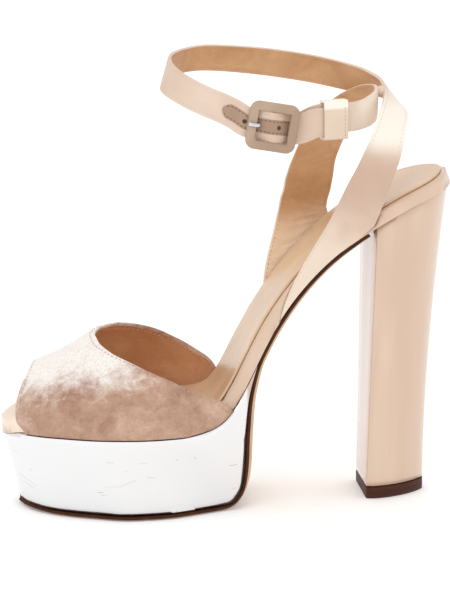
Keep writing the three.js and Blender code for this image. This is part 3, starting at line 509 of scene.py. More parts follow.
def lining_finish(name, light, dark, gloss=0.4, painted_foot_light=False):
    """Tan lining leather: fine grain, soft wrinkles, darker where it was handled. It may have a
    paler painted highlight low down, where a strap fans out to its foot."""
    f = Finish(name, Specular_IOR_Level=0.5)
    here = f.place()
    mottle = f.noise(here, 38, 5, 0.6, 0.8)
    wrinkles = f.noise(f.place(scale=(1.0, 1.0, 2.6), turn=(0.2, 0.5, 0.1)), 62, 4, 0.6, 1.8)
    grain = f.cells(here, 1500)
    colour = f.mix(mottle.step(0.32, 0.7), dark, light)
    if painted_foot_light:
        # Painted highlight on the lining, low down by the strap's foot.
        _, _, z = f.split(here)
        foot_highlight = z.step(*LINING_FOOT_LIGHT) * (0.55 + wrinkles * 0.7)
        colour = f.mix(foot_highlight.clamp(), colour, paint(246, 222, 194))
    f.feed(Base_Color=colour, Roughness=(gloss + (mottle - 0.5) * 0.25).clamp())
    return f.relief((wrinkles, 0.0006), (mottle, 0.0004), (grain, 0.00005))


# Scratches and small dents of the foil on the outer side: (x, z) of both ends in mm, and depth.
MARKS = [
    ((-59.5, 28.4), (-56.5, 28.2), 0.35), ((-44.8, 27.9), (-40.9, 27.6), 0.25),
    ((-98.0, 16.6), (-91.0, 13.2), 0.3), ((-96.0, 13.6), (-92.0, 11.6), 0.3),
    ((-60.5, 16.4), (-54.0, 16.8), 0.2), ((-54.0, 16.8), (-46.5, 19.6), 0.3),
    ((-41.0, 20.8), (-37.6, 20.6), 0.4), ((-93.4, 20.6), (-92.8, 20.0), 0.5),
    ((-27.4, 28.6), (-26.8, 28.0), 0.5), ((-19.0, 28.8), (-18.2, 28.0), 0.6),
]
MARK_STRENGTH = 0.55


def mirror_finish():
    """Silver foil leather: a near mirror with faint waves, dents, and hairline scratches, a painted
    tan reflection towards the back, and a painted dark reflection of the outsole along its foot.
    """
    f = Finish("silver_mirror_leather", Metallic=0.94, Base_Color=paint(240, 240, 240))
    here = f.place()
    wave = f.noise(here, 13, 2, 0.4)
    ripple = f.noise(f.place(scale=(1, 1, 2.2)), 60, 3, 0.5)
    x, y, z = f.split(here)
    swipe = f.noise(f.place(scale=(60, 60, 1500), turn=(0, 0.12, 0)), 1.0, 1, 0.5, 0.4)
    patch = f.noise(f.place(offset=(0.03, 0.0, 0.01)), 60, 2, 0.5).step(0.58, 0.66)
    scratch = swipe.step(0.73, 0.77) * patch
    dents = f.cells(f.place(scale=(1, 1, 1.5)), 34).step(0.1, 0.028) \
        * f.noise(here, 21, 1, 0.5).step(0.5, 0.6)
    low = z.step(*FOIL_WORN)
    worn = (scratch * 0.45 + low * f.noise(here, 240, 3, 0.6).step(0.6, 0.7) * 0.4).clamp()
    grey = paint(120, 114, 110)
    colour = f.mix(worn, paint(231, 231, 231), grey)
    near = y.less(0)
    for start, end, mark in MARKS:
        stroke = f.stroke(x, z, start, end) * near * (mark * MARK_STRENGTH)
        colour = f.mix(stroke, colour, grey)
    # Painted reflection: a tan strip towards the back of the foil's outer side.
    back = x.step(*FOIL_REFLECTION_BACK) * z.step(*FOIL_REFLECTION_RISE) * near
    colour = f.mix(back * 0.8, colour, paint(196, 160, 136))
    # Painted dark reflection: the rounded foot of the foil is painted dark brown, for the outsole
    # edge that it mirrors.
    colour = f.mix(z.less(FOIL_DARK_REFLECTION_TOP), colour, paint(84, 54, 38))
    f.feed(Base_Color=colour,
           Roughness=(0.09 + ripple * 0.05 + worn * 0.4 + dents * 0.1).clamp())
    return f.relief((wave, 0.0011), (ripple, 0.00012), (dents, -0.0003), (scratch, -0.0001))


def patent_finish(name, light, dark, streaks=0.4):
    """Patent leather: an even nude under a thick clear coat, with faint upright streaks, and painted
    shade on the breast, the face that looks to the front.
    """
    f = Finish(name, Roughness=0.38, Coat_Weight=0.9, Coat_Roughness=0.06)
    drift = f.noise(f.place(scale=(30, 30, 3.2)), 1.0, 3, 0.5, 0.5)
    fine = f.noise(f.place(scale=(150, 150, 12)), 1.0, 2, 0.5)
    pebble = f.cells(f.place(), 900)
    colour = f.mix((drift.step(0.3, 0.7) * streaks * 1.5).clamp(), light, dark)
    colour = f.mix(fine.step(0.55, 0.75) * 0.25 * streaks, colour, dark)
    # Painted shade: the breast, the face that looks to the front, is mixed towards a darker taupe.
    breast_painted_shade = f.split(f.node("ShaderNodeTexCoord", output="Normal"))[0].less(-0.6)
    colour = f.mix(breast_painted_shade * 0.4, colour, paint(198, 176, 158))
    f.feed(Base_Color=colour)
    return f.relief((drift, 0.0007), (pebble, 0.00002))


def nude_leather_finish(name, light, dark, gloss=0.3, deep_rim=False):
    """Smooth wrapped leather, softly glossy, with a fine grain; its rim is deeper behind."""
    f = Finish(name, Coat_Weight=0.35, Coat_Roughness=0.2)
    here = f.place()
    mottle = f.noise(here, 44, 4, 0.55)
    grain = f.cells(here, 1700)
    colour = f.mix(mottle.step(0.35, 0.7), dark, light)
    if deep_rim:
        colour = f.mix(f.split(here)[0].step(*RIM_DEEP) * 0.6, colour, paint(196, 160, 132))
    f.feed(Base_Color=colour, Roughness=(gloss + (mottle - 0.5) * 0.2).clamp())
    return f.relief((mottle, 0.0003), (grain, 0.00004))


def sole_finish():
    """Outsole leather: a dark burnished edge, a tan face under the arch, and a worn tread."""
    f = Finish("outsole_leather", Specular_IOR_Level=0.1)
    here = f.place()
    fibre = f.noise(f.place(scale=(2, 9, 2)), 70, 4, 0.6)
    face = f.node("ShaderNodeAttribute", {"attribute_name": "edge_band"}, output="Fac")
    edge = f.mix(fibre.step(0.35, 0.7), paint(66, 38, 24), paint(82, 49, 32))
    tan = f.mix(fibre.step(0.3, 0.7), paint(204, 168, 134), paint(218, 186, 154))
    _, _, z = f.split(here)
    tread = z.step(*TREAD_WORN)
    tan = f.mix(tread * 0.75, tan, paint(96, 66, 46))
    colour = f.mix(face.step(0.35, 0.65), tan, edge)
    f.feed(Base_Color=colour, Roughness=(0.55 + tread * 0.25).clamp())
    return f.relief((fibre, 0.0002), (f.noise(here, 700, 2, 0.6), 0.00006))


def top_piece_finish():
    """The brown rubber under the heel, in thin layers."""
    f = Finish("top_piece_rubber", Specular_IOR_Level=0.15)
    here = f.place()
    fleck = f.noise(here, 900, 2, 0.6)
    layer = f.noise(f.place(scale=(20, 20, 500)), 1.0, 2, 0.5)
    colour = f.mix(layer.step(0.35, 0.65), paint(68, 38, 26), paint(80, 46, 32))
    f.feed(Base_Color=colour, Roughness=(0.42 + fleck * 0.2).clamp())
    return f.relief((layer, 0.0001), (fleck, 0.00005))


def steel_finish():
    """The polished steel of the prong, with a faint haze."""
    f = Finish("polished_steel", Metallic=1.0)
    here = f.place()
    haze = f.noise(f.place(scale=(400, 60, 60)), 1.0, 3, 0.6)
    colour = f.mix(haze, paint(190, 192, 196), paint(228, 228, 230))
    f.feed(Base_Color=colour, Roughness=(0.16 + haze * 0.12).clamp())
    return f.relief((f.noise(here, 300, 2, 0.5), 0.00003))


def thread_finish(name, light, dark):
    """Twisted sewing thread."""
    f = Finish(name, Roughness=0.6, Sheen_Weight=0.2)
    twist = f.noise(f.place(scale=(900, 900, 900), turn=(0.6, 0.5, 0.3)), 1.0, 2, 0.5)
    f.feed(Base_Color=f.mix(twist, dark, light))
    return f.relief((twist, 0.00006))


velvet = velvet_finish()
satin = satin_finish("nude_satin", paint(226, 203, 185), paint(208, 180, 158), painted_light=True)
satin_buckle = satin_finish("satin_on_buckle", paint(190, 166, 146), paint(166, 140, 118),
                            sheer=0.25)
strap_lining = lining_finish("strap_lining_leather", paint(210, 166, 122), paint(190, 142, 98),
                             painted_foot_light=True)
vamp_lining = lining_finish("vamp_lining_leather", paint(226, 174, 132), paint(206, 148, 106),
                            0.45)
sock_leather = nude_leather_finish("sock_leather", paint(226, 194, 158),
                                   paint(212, 176, 140), 0.36)
wrap_leather = nude_leather_finish("insole_wrap_leather", paint(244, 226, 208),
                                   paint(236, 212, 190), deep_rim=True)
heel_patent = patent_finish("heel_patent", paint(223, 197, 175), paint(204, 172, 146), 0.55)
mirror = mirror_finish()
sole_leather = sole_finish()
top_piece = top_piece_finish()
steel = steel_finish()
thread_pale = thread_finish("pale_thread", paint(222, 196, 172), paint(186, 152, 126))
thread_dark = thread_finish("brown_thread", paint(120, 84, 66), paint(84, 54, 42))
patch_satin = satin_finish("patch_satin", paint(180, 152, 130), paint(160, 130, 108), sheer=0.5)
keeper_satin = satin_finish("keeper_satin", paint(233, 214, 194), paint(218, 196, 174),
                            painted_fold_highlight=True)
thread_velvet = thread_finish("velvet_thread", paint(214, 190, 172), paint(150, 118, 100))
thread_lining = thread_finish("lining_thread", paint(206, 158, 112), paint(160, 112, 72))
thread_satin = thread_finish("satin_thread", paint(226, 206, 190), paint(196, 170, 150))
thread_keeper = thread_finish("keeper_thread", paint(206, 178, 152), paint(168, 136, 110))
# Painted shadow for the inside of the punched holes.
painted_hole_shadow = thread_finish("hole_shadow", paint(70, 44, 34), paint(44, 26, 20))


# Sole, heel and insole

TREAD_TOP = 0.004
EDGE_TURN = (0.3, 0.6)


def mark_edges(obj):
    """Keeps on the points how much they belong to the burnished edge, and not to the face that
    looks down or back to the heel."""
    band = obj.data.attributes.new("edge_band", "FLOAT", "POINT")
    for vertex in obj.data.vertices:
        normal = vertex.normal
        low = vertex.co.z < TREAD_TOP
        facing = -normal.z if low else (normal.x - normal.z) * math.sqrt(0.5)
        band.data[vertex.index].value = 1 - ramp(facing, *EDGE_TURN)


def make_sole():
    """Sole, insole and heel: their solids with smooth faces, in leather, foil and patent."""
    pieces = [
        ("outsole", "leather_outsole", "outsole_leather", sole_leather, 2, 38),
        ("platform", "mirror_platform", "mirror_foil", mirror, 2, 38),
        ("insole", "wrapped_insole", "nude_leather", wrap_leather, 0, 38),
        ("sock_lining", "sock", "tan_leather", sock_leather, 1, 30),
        ("heel", "patent_heel", "nude_patent", heel_patent, 2, 50),
        ("heel_tip", "heel_top_piece", "heel_rubber", top_piece, 2, 50),
    ]
    for node, name, slot, material, levels, crease_over in pieces:
        piece = dressed_copy(node, levels=levels, crease_over=crease_over)
        if node == "outsole":
            mark_edges(piece)
        finish_piece(piece, name, node, slot, [material])


# Vamp

VAMP_WALL = 1.9
VAMP_ACROSS = 130
# Hollows and swells of the velvet: height, then middle and reach along the shoe, all in mm, and
# middle and reach round the foot.
VAMP_DENTS = [(-0.5, -78, 7, 0.42, 0.16), (0.35, -62, 9, 0.35, 0.2)]
PUCKER, PUCKER_WAVES, PUCKER_REACH = 0.16, 46, 7
PEEP_ROLL, PEEP_ROLL_REACH, TOP_ROLL, TOP_ROLL_REACH = 0.4, 2.6, 0.5, 1.2
SEAM_DEPTH, SEAM_INSET, SEAM_WIDTH = 0.22, 2.1, 0.7


def vamp_at(back, turn):
    """The place on the last: back is 0 at the peep and 1 at the topline."""
    return lerp(peep_rim(turn), top_rim(turn), back), turn


def vamp_span(turn):
    return (top_rim(turn) - peep_rim(turn)) * FOOT


def vamp_point(back, turn, raise_by=0.0):
    at, turn = vamp_at(back, turn)
    point = last_skin(at, turn) + skin_normal(at, turn) * raise_by
    return to_row(*point)


def vamp_relief(back, turn):
    """Soft troughs and ridges of the velvet, its puckers at the peep and its rolled rims."""
    at, _ = vamp_at(back, turn)
    x = (at - 0.5) * FOOT
    crown = math.sin(math.pi * turn)
    from_peep, from_top = back * vamp_span(turn), (1 - back) * vamp_span(turn)
    relief = sum(height * math.exp(-((x - place) / reach) ** 2 - ((turn - side) / spread) ** 2)
                 for height, place, reach, side, spread in VAMP_DENTS)
    puckered = (1 - ramp(from_peep, 0, PUCKER_REACH)) * crown
    relief += PUCKER * math.sin(turn * PUCKER_WAVES) * puckered
    relief -= PEEP_ROLL * (1 - clamp01(from_peep / PEEP_ROLL_REACH)) ** 2
    relief -= TOP_ROLL * (1 - clamp01(from_top / TOP_ROLL_REACH)) ** 2
    relief -= (1 - ramp(from_peep, -3, 15)) * crown ** 2
    relief += 0.9 * (1 - ramp(from_top, 1, 16)) * ramp(turn, 0.35, 0.6) * ramp(turn, 1, 0.8)
    return relief - SEAM_DEPTH * math.exp(-((from_top - SEAM_INSET) / SEAM_WIDTH) ** 2)


def vamp_flat(back, turn):
    return (1 - back) * vamp_span(turn) * MM, turn * VAMP_ACROSS * MM


def make_vamp():
    """The velvet sheet over the last, with its wall and its lining."""
    vamp = grid_piece("vamp_sheet", 90, 120,
                      lambda u, v: vamp_point(u, v, vamp_relief(u, v)), vamp_flat)
    turn_out(vamp, lambda face: face.center - Vector((face.center.x, SIDE_SHIFT, 0.040)))
    dress(vamp, [velvet, vamp_lining])
    wall_and_edges(vamp, VAMP_WALL, 0.5)
    finish_piece(vamp, "velvet_vamp", "vamp", "velvet", [velvet, vamp_lining])


# Straps

RING_BACK, RING_LENGTH, RING_WIDTH, ANKLE_RISE, STRAP = 79.4, 105.0, 58.0, 56.6, 13.2
WALL = 1.5
GAP = 0.3
PIVOT_RADIUS = 0.9

# Rows: share of the ring forward, sideways and up, share of the strap's width, lean outwards.
LONG_ROWS = [
    (0.211, -0.462, -0.203, 1.45, 1), (0.166, -0.474, -0.016, 1.40, 10),
    (0.129, -0.479, 0.134, 1.30, 20), (0.091, -0.462, 0.292, 1.23, 40),
    (0.061, -0.414, 0.428, 1.11, 58), (0.032, -0.319, 0.558, 1.04, 62),
    (0.006, -0.147, 0.629, 1.03, 54), (0.002, 0.043, 0.687, 1.03, 43),
    (0.023, 0.172, 0.733, 1.03, 37), (0.077, 0.284, 0.770, 1.02, 30),
    (0.154, 0.362, 0.806, 1.03, 20), (0.319, 0.457, 0.875, 1.03, 16),
    (0.531, 0.500, 0.942, 1.01, 16), (0.739, 0.479, 0.986, 0.98, 19),
    (0.831, 0.422, 1.000, 0.97, 20), (0.897, 0.345, 0.996, 0.95, 20),
    (0.955, 0.216, 0.984, 0.97, 17), (0.997, 0.043, 0.963, 0.98, 16),
    (1.005, -0.112, 0.920, 1.00, 21), (0.975, -0.241, 0.871, 1.00, 26),
    (0.918, -0.336, 0.811, 1.00, 24), (0.851, -0.397, 0.753, 1.00, 19),
    (0.780, -0.434, 0.698, 1.00, 12), (0.723, -0.445, 0.641, 1.00, 4),
]
SHORT_ROWS = [
    (0.373, 0.449, -0.239, 1.88, 0), (0.353, 0.462, -0.102, 1.79, 0),
    (0.333, 0.468, 0.030, 1.63, 2), (0.311, 0.466, 0.163, 1.44, 4), (0.285, 0.453, 0.281, 1.38, 6),
    (0.240, 0.405, 0.431, 1.25, 10), (0.194, 0.319, 0.544, 1.14, 14),
    (0.149, 0.216, 0.622, 1.06, 18), (0.109, 0.107, 0.668, 1.03, 14),
    (0.081, 0.010, 0.675, 1.02, 4), (0.090, -0.091, 0.645, 1.00, -4),
    (0.131, -0.186, 0.604, 1.00, 0), (0.189, -0.269, 0.585, 1.00, 0),
]


def catmull(points):
    """The centripetal curve through points, by the number of the point."""
    ends = [points[0] * 2 - points[1], *points, points[-1] * 2 - points[-2]]

    def at(t):
        spot = clamp01(t) * (len(points) - 1)
        i = min(int(spot), len(points) - 2)
        w = spot - i
        p0, p1, p2, p3 = ends[i:i + 4]
        d0, d1, d2 = ((b - a).length ** 0.5 for a, b in ((p0, p1), (p1, p2), (p2, p3)))
        d1 = max(d1, 1e-4)
        d0, d2 = max(d0, 1e-4), max(d2, 1e-4)
        t1 = ((p1 - p0) / d0 - (p2 - p0) / (d0 + d1) + (p2 - p1) / d1) * d1
        t2 = ((p2 - p1) / d1 - (p3 - p1) / (d1 + d2) + (p3 - p2) / d2) * d1
        c2 = (p2 - p1) * 3 - t1 * 2 - t2
        c3 = (p1 - p2) * 2 + t1 + t2
        return p1 + t1 * w + c2 * w * w + c3 * w * w * w
    return at


def ring_place(back, side, up, wide=1.0, lean=0.0):
    point = Vector((RING_BACK - back * RING_LENGTH, side * RING_WIDTH,
                    SEAT_HEIGHT + up * ANKLE_RISE))
    return point, wide * STRAP, lean


TILT = math.radians(10.4)
BUCKLE_LENGTH, BUCKLE_SIDE, BUCKLE_DEPTH = 22.8, 4.0, 3.0
BUCKLE_AXES = (ring_place(0.573, -0.505, 0.55)[0], Vector((math.cos(TILT), 0, -math.sin(TILT))),
               Vector((math.sin(TILT), 0, math.cos(TILT))), Vector((0, -1, 0)))
YAW = math.radians(15)
KEEPER_AXES = (ring_place(0.3, -0.41, 0.567)[0], Vector((math.cos(YAW), math.sin(YAW), 0)),
               Vector((0, 0, 1)), Vector((math.sin(YAW), -math.cos(YAW), 0)))
PATCH_STEP = 0.5
UNDER_BAR = -BUCKLE_DEPTH / 2 - GAP - PATCH_STEP - WALL / 2
PIVOT_DEPTH = -WALL / 2 - 2 * GAP - WALL - PIVOT_RADIUS
SIDE_BAR = (BUCKLE_LENGTH - BUCKLE_SIDE) / 2
KEEPER_WIDTH = 11.5
KEEPER_SLACK = 1.8


def in_axes(axes, along, across, out):
    return axes[0] + axes[1] * along + axes[2] * across + axes[3] * out


def flat_place(axes, along, out, up=0.0):
    return in_axes(axes, along, up, out), STRAP, 0.0


def long_places():
    layer = (WALL + GAP) / 2
    inner = SIDE_BAR - BUCKLE_SIDE / 2
    outer = SIDE_BAR + BUCKLE_SIDE / 2
    in_buckle = [(-outer, 1), (-inner, 1), (-SIDE_BAR * 0.4, 0.35), (0, 0),
                 (SIDE_BAR * 0.4, 0.35), (inner, 1), (outer, 1)]
    return ([ring_place(*row) for row in LONG_ROWS]
            + [flat_place(BUCKLE_AXES, along, UNDER_BAR * part) for along, part in in_buckle]
            + [flat_place(KEEPER_AXES, KEEPER_WIDTH * part, layer)
               for part in (-0.8, -0.45, -0.1, 0.3)])


def short_places():
    layer = (WALL + GAP) / 2
    rise = KEEPER_SLACK * 0.8
    eye = PIVOT_DEPTH - PIVOT_RADIUS - GAP - WALL / 2
    return ([ring_place(*row) for row in SHORT_ROWS]
            + [flat_place(KEEPER_AXES, KEEPER_WIDTH * part, -layer, rise)
               for part in (0.65, 0.3, -0.3, -0.65)]
            + [flat_place(BUCKLE_AXES, along, eye) for along in (BUCKLE_LENGTH / 2, 0)])


def over_joint(at, y, height):
    """A point at a height over the insole's foot, square to its slope."""
    step = 0.004
    spot = max(at, TOE_LEVEL)
    slope = math.atan2(joint_z(spot + step) - joint_z(spot - step), 2 * step * FOOT)
    return Vector(((at - 0.5) * FOOT - height * math.sin(slope), y,
                   joint_z(at) + height * math.cos(slope)))


class Strap:
    """A strap's middle surface: a fan that rises from its foot, then a band along its path."""

    FOOT_SHARE = 0.16
    FAN_BOW = 16
    FAN_FLAT = (50, 30)
    STEPS = 600

    def __init__(self, places, edge, side, front, back, turn):
        self.path = catmull([place[0] for place in places])
        keys = [i / (len(places) - 1) for i in range(len(places))]
        self.wide = curve(list(zip(keys, [place[1] for place in places])))
        self.lean = curve(list(zip(keys, [place[2] for place in places])))
        self.foot = (edge, side, front, back)
        self.turn = turn
        self.marks = [0.0]
        for i in range(self.STEPS):
            piece = self.path((i + 1) / self.STEPS) - self.path(i / self.STEPS)
            self.marks.append(self.marks[-1] + piece.length)
        self.length = self.marks[-1]

    def length_to(self, t):
        spot = clamp01(t) * (len(self.marks) - 1)
        i = min(int(spot), len(self.marks) - 2)
        return lerp(self.marks[i], self.marks[i + 1], spot - i)

    def at_length(self, goal):
        low, high = 0.0, 1.0
        for _ in range(24):
            middle = (low + high) / 2
            low, high = (middle, high) if self.length_to(middle) < goal else (low, middle)
        return (low + high) / 2

    def frame_at(self, t):
        """The middle of the band, the way across it and the way out of its face."""
        step = 0.002
        along = (self.path(min(t + step, 1)) - self.path(max(t - step, 0))).normalized()
        out = Vector((along.y, -along.x, 0)).normalized() * self.turn
        down = (Vector((0, 0, -1)) + along * along.z).normalized()
        angle = math.radians(self.lean(t))
        across = down * math.cos(angle) + out * math.sin(angle)
        normal = out * math.cos(angle) - down * math.sin(angle)
        return self.path(t), across, normal

    def band(self, t, share, out=0.0):
        point, across, normal = self.frame_at(t)
        return point + across * ((share - 0.5) * self.wide(t)) + normal * out

    def fan(self, rise, share, out=0.0):
        edge, side, front, back = self.foot
        at = lerp(front, back, share)
        width = (outer_curve if edge == "outer" else inner_curve)(round_key(at))
        low = over_joint(at, side * (width - WALL / 2), GAP)
        high = self.band(0, share)
        bow = self.FAN_BOW * rise * (1 - rise) ** 2 * (1 - share) ** 2
        sideways = Vector((0, side, 0))
        normal = sideways.lerp(self.frame_at(0)[2], rise ** 2).normalized()
        return low.lerp(high, rise) + Vector((-bow, 0, 0)) + normal * out

    def place(self, u, share, out=0.0):
        """u runs from 0 at the foot to 1 at the end, evenly along the band."""
        if u < self.FOOT_SHARE:
            return self.fan(u / self.FOOT_SHARE, share, out)
        t = (u - self.FOOT_SHARE) / (1 - self.FOOT_SHARE)
        return self.band(self.at_length(t * self.length), share, out)

    def flat(self, u, share):
        """The same place in the strap's flat pattern, in metres."""
        if u < self.FOOT_SHARE:
            along = -self.FAN_FLAT[1] * (1 - u / self.FOOT_SHARE)
            wide = lerp(self.FAN_FLAT[0], self.wide(0), u / self.FOOT_SHARE)
        else:
            t = (u - self.FOOT_SHARE) / (1 - self.FOOT_SHARE)
            along = t * self.length
            wide = self.wide(self.at_length(along))
        return along * MM, (share - 0.5) * wide * MM


long_strap = Strap(long_places(), "outer", -1, 0.609, 0.784, 1)
short_strap = Strap(short_places(), "inner", 1, 0.598, 0.756, -1)
LAST_PLACE = len(long_places()) - 1
BUCKLE_AT = long_strap.length_to((len(LONG_ROWS) + 3) / LAST_PLACE)
PATCH_END = long_strap.length_to((len(LONG_ROWS) + 6) / LAST_PLACE)
PATCH_LENGTH, PATCH_WIDTH = 37.0, 6.6
PATCH_START = PATCH_END - PATCH_LENGTH


# In mm: the fullness of a strap and how far its edges sink, then its bends and wrinkles. Their
# places and reaches are shares of its length or width.
SWELL, SWELL_REACH, EDGE_SINK = 0.22, 0.22, 0.12
FOLD, FOLD_AT, FOLD_REACH = 0.16, 0.655, 0.004
BEND, BENDS, WRINKLE, WRINKLES = 0.072, 55, 0.22, 260
SAG, SAG_REACH = 0.045, 0.024


def strap_swell(share):
    """A strap is a little fuller along its middle and pulled in along its stitched edges."""
    return SWELL * ramp(min(share, 1 - share), 0.0, SWELL_REACH) - EDGE_SINK


def long_crease(u, _):
    """Soft bends of the long strap: across the front of the ring, and where it leaves the foot."""
    fold = FOLD * math.exp(-((u - FOLD_AT) / FOLD_REACH) ** 2)
    return fold + BEND * math.sin(u * BENDS) * ramp(u, 0.2, 0.3) * (1 - ramp(u, 0.75, 0.8))


def foot_crease(u, share):
    """Shallow wrinkles of the lining where the short strap fans out to its foot."""
    near = ramp(u, 0.02, 0.07) * (1 - ramp(u, 0.17, 0.25))
    return near * WRINKLE * math.sin(u * WRINKLES + share * 7) * math.sin(math.pi * share)


def long_sag(u):
    """How much wider the long strap spreads downwards in the buckle, as a share."""
    middle = lerp(long_strap.FOOT_SHARE, 1, BUCKLE_AT / long_strap.length)
    return SAG * math.exp(-((u - middle) / SAG_REACH) ** 4)


def make_strap(name, strap, steps, crease, sag, node):
    """A strap with its satin outside and its lining inside."""
    def place(u, share):
        out = strap_swell(share) + crease(u, share)
        return to_row(*strap.place(u, share * (1 + sag(u)), out))
    band = grid_piece(name, steps, 14, place, strap.flat)
    pattern = band.data.uv_layers["flat"].data

    def outward(face):
        along = pattern[face.loop_start].uv[0] / MM
        return strap.frame_at(strap.at_length(max(along, 0.0)))[2]
    turn_out(band, outward)
    dress(band, [satin, strap_lining])
    wall_and_edges(band, WALL, 0.35, offset=0.0)
    finish_piece(band, name, node, "satin", [satin, strap_lining])


def make_straps():
    make_strap("long_ankle_strap", long_strap, 300, long_crease, long_sag, "ankle_straps")
    make_strap("short_ankle_strap", short_strap, 150, foot_crease, lambda u: 0.0, None)


EYE_NOTCH, EYE_RADIUS, EYE_BORE = 2.4, 2.7, 1.2


def make_eye():
    """The strap's end round the pivot, in two halves with the prong between them."""
    half = (STRAP - GAP - EYE_NOTCH) / 4
    _, along, across, out = BUCKLE_AXES
    rings = []
    for side in (-1, 1):
        bpy.ops.mesh.primitive_cylinder_add(vertices=28, radius=EYE_RADIUS * MM,
                                            depth=half * 2 * MM, end_fill_type="NOTHING")
        ring = bpy.context.object
        apply(ring, "SOLIDIFY", thickness=(EYE_RADIUS - EYE_BORE) * MM, offset=-1.0)
        smooth(ring, 50)
        centre = to_row(*in_axes(BUCKLE_AXES, 0, side * (EYE_NOTCH / 2 + half), PIVOT_DEPTH))
        for vertex in ring.data.vertices:
            p = vertex.co.copy()
            vertex.co = centre + along * p.x + across * p.z - out * p.y
        rings.append(ring)
    finish_piece(join(rings, "strap_eye"), "strap_eye", None, "satin", [satin])


PATCH_LIFT = 0.24


def patch_half(part):
    """Half the patch's width, which narrows to its pointed tip."""
    return PATCH_WIDTH / 2 * clamp01(part * PATCH_LENGTH / (PATCH_WIDTH * 0.42) + 0.06) ** 0.6


def patch_point(part, side, lift):
    """A point over the long strap under the patch, side mm across from its middle."""
    point, across, normal = long_strap.frame_at(
        long_strap.at_length(PATCH_START + part * PATCH_LENGTH))
    out = strap_swell(0.5 + side / STRAP) + WALL / 2 + lift
    return to_row(*(point + across * side + normal * out)), normal


def make_patch():
    """The pointed leather patch that carries the holes, edge-stitched to the long strap."""
    def place(part, v):
        crown = 0.1 * (1 - (2 * v - 1) ** 6)
        return patch_point(part, (v - 0.5) * 2 * patch_half(part), PATCH_LIFT + crown)[0]

    def flat(part, v):
        return part * PATCH_LENGTH * MM, (v - 0.5) * 2 * patch_half(part) * MM
    patch = grid_piece("patch_sheet", 90, 12, place, flat)
    turn_out(patch, lambda face: Vector((0, face.center.y, 0)))
    wall_and_edges(patch, PATCH_STEP, 0.15, lining=0)
    finish_piece(patch, "hole_patch", None, "satin", [patch_satin])


HOLE_PITCH, PRONG_AHEAD = 8.0, 5.4
HOLE_RADIUS, HOLE_LIP, WELL_RADIUS, WELL_DEPTH = 0.85, 0.2, 0.75, 0.12


def make_hole(along, name):
    """A punched hole: a well in a dark finish of painted shadow, with a slightly raised round lip.
    """
    bpy.ops.mesh.primitive_torus_add(major_radius=HOLE_RADIUS * MM, minor_radius=HOLE_LIP * MM,
                                     major_segments=28, minor_segments=8)
    lip = bpy.context.object
    resize(lip, (1, 1, 0.7))
    smooth(lip, 60)
    lip.data.materials.append(thread_dark)
    bpy.ops.mesh.primitive_cylinder_add(vertices=24, radius=WELL_RADIUS * MM,
                                        depth=WELL_DEPTH * MM)
    well = bpy.context.object
    for face in well.data.polygons:
        face.select = face.normal.z > 0.9
    bpy.ops.object.mode_set(mode="EDIT")
    bpy.ops.mesh.inset(thickness=0.25 * MM, depth=-0.05 * MM)
    bpy.ops.object.mode_set(mode="OBJECT")
    # The well is a dark disc of painted shadow.
    well.data.materials.append(painted_hole_shadow)
    hole = join([lip, well], name)
    point, across, normal = long_strap.frame_at(long_strap.at_length(along))
    forward = across.cross(normal)
    centre = to_row(*(point + normal * (WALL / 2 + PATCH_LIFT + 0.22)))
    for vertex in hole.data.vertices:
        p = vertex.co.copy()
        vertex.co = centre + forward * p.x + across * p.y + normal * p.z
    hole.data.update()
    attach(hole, "root")


def make_holes():
    """The two free holes of the patch; the prong fills the third, between them."""
    for number, side in enumerate((-1, 1)):
        make_hole(BUCKLE_AT - PRONG_AHEAD + side * HOLE_PITCH, f"strap_hole_{number + 1}")


# Stitches

def stitch_run(name, spots, material, length, radius):
    """Stitches: one rounded thread end modelled once, copied to each (point, ahead, up)."""
    bpy.ops.mesh.primitive_uv_sphere_add(segments=8, ring_count=6, radius=1.0)
    first = bpy.context.object
    resize(first, (length / 2 * MM, radius * MM, radius * 0.7 * MM))
    smooth(first, 80)
    shape = [vertex.co.copy() for vertex in first.data.vertices]
    threads = []
    for point, ahead, up in spots:
        copy = bpy.data.objects.new(name, first.data.copy())
        bpy.context.scene.collection.objects.link(copy)
        aside = up.cross(ahead).normalized()
        for vertex, p in zip(copy.data.vertices, shape):
            vertex.co = point + ahead * p.x + aside * p.y + up * p.z
        threads.append(copy)
    bpy.data.objects.remove(first)
    run = join(threads, name)
    run.data.materials.clear()
    run.data.materials.append(material)
    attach(run, "root")


def line_spots(points, ups, pitch):
    """Even places along a row of points, with the way ahead and the way up at each."""
    spots = []
    left = 0.0
    for (a, b), up in zip(zip(points, points[1:]), ups):
        step = (b - a).length
        ahead = (b - a) / max(step, 1e-9)
        while left < step:
            spots.append((a + ahead * left, ahead, up))
            left += pitch
        left -= step
    return spots


# Rows of stitches on the vamp: name, the rim that it follows, its distance from it, its two ends
# round the foot, its height off the velvet (None for the lining), thread, length and radius.
VAMP_ROWS = [
    ("topline_stitches", "top", 2.1, (0.02, 0.985), 0.12, thread_velvet, 1.5, 0.2),
    ("peep_stitches", "peep", 2.0, (0.04, 0.97), 0.08, thread_velvet, 1.5, 0.17),
    ("lining_stitches", "top", 2.3, (0.03, 0.975), None, thread_pale, 1.4, 0.2),
]
STITCH_LIFT = 0.02
VAMP_PITCH, STRAP_PITCH, PATCH_PITCH = 2.35, 2.1, 1.9
STRAP_INSET, PATCH_INSET = 1.5, 0.75


def sew(name, steps, at, pitch, thread, length, radius):
    """A row of stitches, pitch mm apart, along the points that at gives with their way up."""
    points, ups = zip(*(at(i / steps) for i in range(steps + 1)))
    stitch_run(name, line_spots(points, ups, pitch * MM), thread, length, radius)


